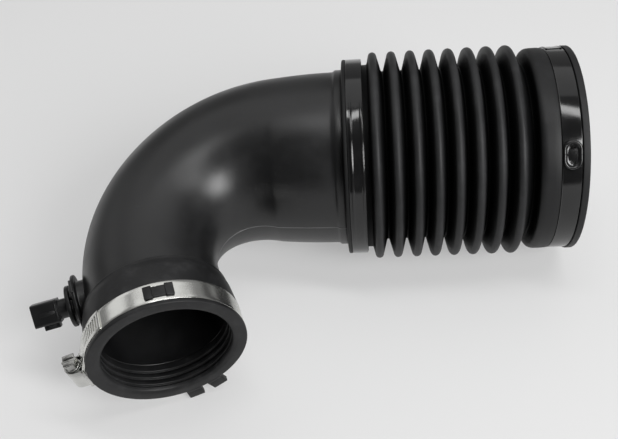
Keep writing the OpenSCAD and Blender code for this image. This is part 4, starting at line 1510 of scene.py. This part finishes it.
@dataclass
class AirSensor:
    """The air temperature sensor: probe, barrel, disc, stem and connector shroud."""

    shop: Workshop
    barrel_r: float = 7.2
    groove_r: float = 6.25
    collar_t: float = 2.6
    disc_r: float = 12.0
    disc_t: float = 2.4
    stem_l: float = 5.6
    shroud_l: float = 15.0
    shroud_h: float = 11.4
    shroud_w: float = 13.4
    wall: float = 1.2
    socket_l: float = 12.0
    probe_tip: float = 18.2
    probe_r: float = 4.4

    @property
    def disc_top(self) -> float:
        """Height of the disc's outer face over the elbow's centre line."""
        return self.shop.layout.boss_top + self.collar_t + self.disc_t

    @property
    def shroud_base(self) -> float:
        """Height where the shroud begins."""
        return self.disc_top + self.stem_l

    @property
    def shroud_end(self) -> float:
        """Height of the shroud's mouth."""
        return self.shroud_base + self.shroud_l

    def barrel(self, bm: Mesh) -> None:
        """Turns the barrel, its collar, the disc and the stem.

        Args:
            bm: The mesh to add to.
        """
        top, r, groove = self.shop.layout.boss_top, self.barrel_r, self.groove_r
        seat, disc, stem = top + self.collar_t, self.disc_top, self.shroud_base + 0.2
        revolved(bm, softened([
            (0.02, 34.5), (r, 34.5, 0.4), (r, top - 4.0, 0.2), (groove, top - 4.0, 0.2),
            (groove, top - 2.0, 0.2), (r, top - 2.0, 0.2), (r, top + 0.05, 0.1), (9.0, top + 0.05, 0.4),
            (9.0, seat, 0.3), (self.disc_r, seat, 0.5), (self.disc_r, disc, 0.7), (6.4, disc, 0.8),
            (5.7, disc + 1.2, 0.5), (5.7, stem), (0.02, stem),
        ]), 96)
        for angle in (45, 225):
            lock = (4.4, 5.2, self.collar_t - 0.1)
            spun(bm, block(bm, lock, (8.8, 0, top + self.collar_t / 2 + 0.05), 0.5), angle)
        for k in range(4):
            spun(bm, block(bm, (1.1, 9.6, self.stem_l), (0, 0, disc + self.stem_l / 2), 0.3), 45 * k)

    def probe(self, bm: Mesh) -> None:
        """Shapes the probe's cage: a foot ring, four bars and a tip ring.

        Args:
            bm: The mesh to add to.
        """
        tip, foot, r = self.probe_tip, 35.0, self.probe_r
        revolved(bm, softened([(0.02, tip), (r, tip, 0.8), (r, tip + 2, 0.3), (0.02, tip + 2)]), 48)
        revolved(bm, softened([(0.02, tip + 13), (r, tip + 13, 0.3), (r, foot), (0.02, foot)]), 48)
        for k in range(4):
            spun(bm, block(bm, (1.3, 2.6, 12.4), (3.6, 0, tip + 7.6), 0.3), 45 + 90 * k)

    def shroud(self, bm: Mesh) -> None:
        """Shapes the connector shroud with its socket by extruding and insetting a rounded box.

        Args:
            bm: The mesh to add to.
        """
        near = self.shroud_end - 0.01
        prism(bm, rounded_box(self.shroud_h, self.shroud_w, 1.6), self.shroud_base, self.shroud_end)
        mouth = faces_over(bm, near)
        bmesh.ops.inset_region(bm, faces=mouth, thickness=self.wall, depth=0.0)
        deep = bmesh.ops.extrude_face_region(bm, geom=mouth)["geom"]
        bmesh.ops.translate(bm, verts=of_kind(deep, Vert), vec=(0, 0, -self.socket_l))
        bmesh.ops.delete(bm, geom=[f for f in mouth if f.is_valid], context="FACES_ONLY")
        bevelled(bm, [e for e in bm.edges if all(v.co.z > near for v in e.verts)], 0.25, 2)

    def latch(self, bm: Mesh) -> None:
        """Adds the catch that the plug's latch snaps over, and the shroud's ribs.

        Args:
            bm: The mesh to add to.
        """
        base, low, reach = -self.shroud_w / 2, self.shroud_end - 13.6, self.shroud_h / 2
        block(bm, (6.4, 3.2, 2.4), (0, base - 1.2, low + 1.2), 0.35)
        block(bm, (6.4, 2.6, 3.0), (0, base - 0.9, low + 6.6), 0.5)
        for side in (-1, 1):
            block(bm, (1.2, 3.2, 9.0), (side * 2.6, base - 1.2, low + 4.5), 0.3)
            collar = (side * (reach + 0.1), 0, self.shroud_base + 1.4)
            block(bm, (1.1, self.shroud_w - 3.4, 1.0), collar, 0.3)
            block(bm, (0.9, 2.2, 9.0), (side * (reach + 0.15), 0, self.shroud_base + 6.4), 0.3)

    def build(self) -> None:
        """Makes the sensor and dresses its hidden pieces."""
        shop = self.shop
        plastic = MouldedFinish(
            "sensor_plastic", (0.006, 0.0061, 0.0064), (0.02, 0.02, 0.021), 0.36, 0.05, 1200.0, 0.00002,
            gloss=0.35,
        ).make(shop.shelf)
        place = shop.layout.at_sensor()
        for name, shape in (
            ("sensor_barrel", self.barrel), ("sensor_probe", self.probe),
            ("sensor_shroud", self.shroud), ("sensor_latch", self.latch),
        ):
            shop.piece(name, shape, place, plastic, Slot.SENSOR, ("sensor_body",))
        seal = MouldedFinish("seal_rubber", (0.05, 0.022, 0.015), (0.10, 0.05, 0.035), 0.42)
        resin = MouldedFinish("thermistor_resin", (0.16, 0.07, 0.03), (0.24, 0.12, 0.06), 0.25)
        tinned = MetalFinish("tinned_terminal", (0.78, 0.75, 0.64), (0.66, 0.62, 0.5), 0.3)
        blade = tinned.make(shop.shelf)
        shop.dress("sensor_seal", seal.make(shop.shelf))
        shop.dress("sensor_thermistor", resin.make(shop.shelf))
        for number in (1, 2):
            shop.dress(f"sensor_terminal_{number}", blade)


# Studio


@dataclass(frozen=True)
class AreaLamp:
    """A soft studio lamp, placed by its direction as seen from the middle of the pipe."""

    name: str
    azimuth: float
    height: float
    away: float
    size: tuple[float, float]
    power: float

    def place(self, middle: Vector) -> Matrix:
        """Returns where the lamp hangs and how it is turned.

        Args:
            middle: The point that it is aimed at.

        Returns:
            The lamp's matrix.
        """
        lift, side = radians(self.height), radians(self.azimuth)
        out = Vector((cos(lift) * cos(side), cos(lift) * sin(side), sin(lift)))
        turn = (-out).to_track_quat("-Z", "Y").to_matrix().to_4x4()
        return Matrix.Translation(middle + out * self.away) @ turn


@dataclass
class Studio:
    """The pale floor, the soft lamps and the camera."""

    floor_z: float = -0.0651
    floor_half: float = 6.0
    floor_colour: Triple = (0.42, 0.42, 0.42)
    floor_glow: float = 0.36
    room_glow: tuple[float, float] = (0.05, 0.22)
    middle: Triple = (-0.15, -0.05, 0.0)
    camera_at: Triple = (-0.1142, -0.4301, 0.3626)
    camera_turn: Triple = (45.876, 4.400, 1.149)
    lens: float = 51.08
    lamps: tuple[AreaLamp, ...] = (
        AreaLamp("softbox_back", 90.0, 60.0, 1.8, (2.4, 1.4), 6.5),
        AreaLamp("panel_left", 155.0, 30.0, 1.7, (0.9, 0.7), 1.2),
        AreaLamp("key_front", -47.0, 32.0, 2.2, (1.0, 1.0), 42.0),
        AreaLamp("strip_overhead", -22.0, 76.0, 1.2, (0.17, 1.0), 5.0),
    )

    def floor(self) -> None:
        """Lays the floor, which looks pale to the camera and keeps a faint shadow."""
        bm = bmesh.new()
        bmesh.ops.create_grid(bm, x_segments=1, y_segments=1, size=self.floor_half)
        bmesh.ops.translate(bm, verts=bm.verts, vec=(0, 0, self.floor_z))
        mesh = bpy.data.meshes.new("studio_floor")
        bm.to_mesh(mesh)
        bm.free()
        floor = bpy.data.objects.new("studio_floor", mesh)
        bpy.context.scene.collection.objects.link(floor)
        material, sheet, shader, _ = start_material("studio_floor")
        sheet.wired(shader, {
            "Base Color": (*self.floor_colour, 1.0), "Roughness": 0.9, "Specular IOR Level": 0.1,
            "Emission Color": (1.0, 1.0, 1.0, 1.0),
        })
        path = sheet.add("LightPath").outputs
        seen = sheet.maths("ADD", path["Is Camera Ray"], path["Is Glossy Ray"])
        seen = sheet.add("Clamp", {0: sheet.maths("ADD", seen, path["Is Transmission Ray"])}).outputs[0]
        glow = sheet.maths("MULTIPLY", seen, self.floor_glow)
        sheet.tree.links.new(glow, shader.inputs["Emission Strength"])
        mesh.materials.append(material)

    def sky(self) -> None:
        """Fills the room with a weak light that comes mostly from the back."""
        world = bpy.data.worlds.new("studio_room")
        bpy.context.scene.world = world
        world.use_nodes = True
        sheet = NodeSheet(world.node_tree)
        depth = sheet.add("SeparateXYZ", {0: sheet.add("TexCoord").outputs["Generated"]}).outputs["Y"]
        glow = sheet.ramp(depth, -0.7, 0.6, self.room_glow)
        room = world.node_tree.nodes["Background"]
        sheet.wired(room, {"Color": (1.0, 1.0, 1.0, 1.0), "Strength": glow})

    def light(self) -> None:
        """Hangs the lamps."""
        for lamp in self.lamps:
            data = bpy.data.lights.new(lamp.name, "AREA")
            data.shape = "RECTANGLE"
            data.size, data.size_y = lamp.size
            data.energy = lamp.power
            thing = bpy.data.objects.new(lamp.name, data)
            thing.matrix_world = lamp.place(Vector(self.middle))
            bpy.context.scene.collection.objects.link(thing)

    def camera(self) -> None:
        """Sets the camera at the photograph's angle."""
        data = bpy.data.cameras.new("photo_camera")
        data.lens = self.lens
        data.sensor_width = 36.0
        data.sensor_fit = "HORIZONTAL"
        thing = bpy.data.objects.new("photo_camera", data)
        thing.location = self.camera_at
        thing.rotation_euler = tuple(radians(a) for a in self.camera_turn)
        bpy.context.scene.collection.objects.link(thing)
        bpy.context.scene.camera = thing

    def build(self) -> None:
        """Sets up the whole studio."""
        self.floor()
        self.sky()
        self.light()
        self.camera()
        bpy.context.scene.view_settings.view_transform = "Standard"
        LOG.info("studio ready")


def main() -> None:
    """Builds every sub-assembly in order."""
    logging.basicConfig(level=logging.INFO, format="%(name)s: %(message)s")
    layout = PipeLayout()
    shop = Workshop(layout, GroupShelf())
    Studio().build()
    ElbowDuct(shop).build()
    BellowsSleeve(shop).build()
    collar = layout.collar_start + 0.15
    CrimpBand(shop, "elbow_end_clamp", collar, 9.8, 60.35, 1.0, 7.6, (252, 341), strap_shift=0.6).build()
    CrimpBand(shop, "airbox_end_clamp", 4.3, 11.2, 61.35, 0.9, 10.0, (23, 80), ear_at=306.0).build()
    ThrottleCuff(shop).build()
    WormClamp(shop).build()
    AirSensor(shop).build()
    LOG.info("made %d pieces", len(shop.made))


if __name__ == "__main__":
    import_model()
    main()
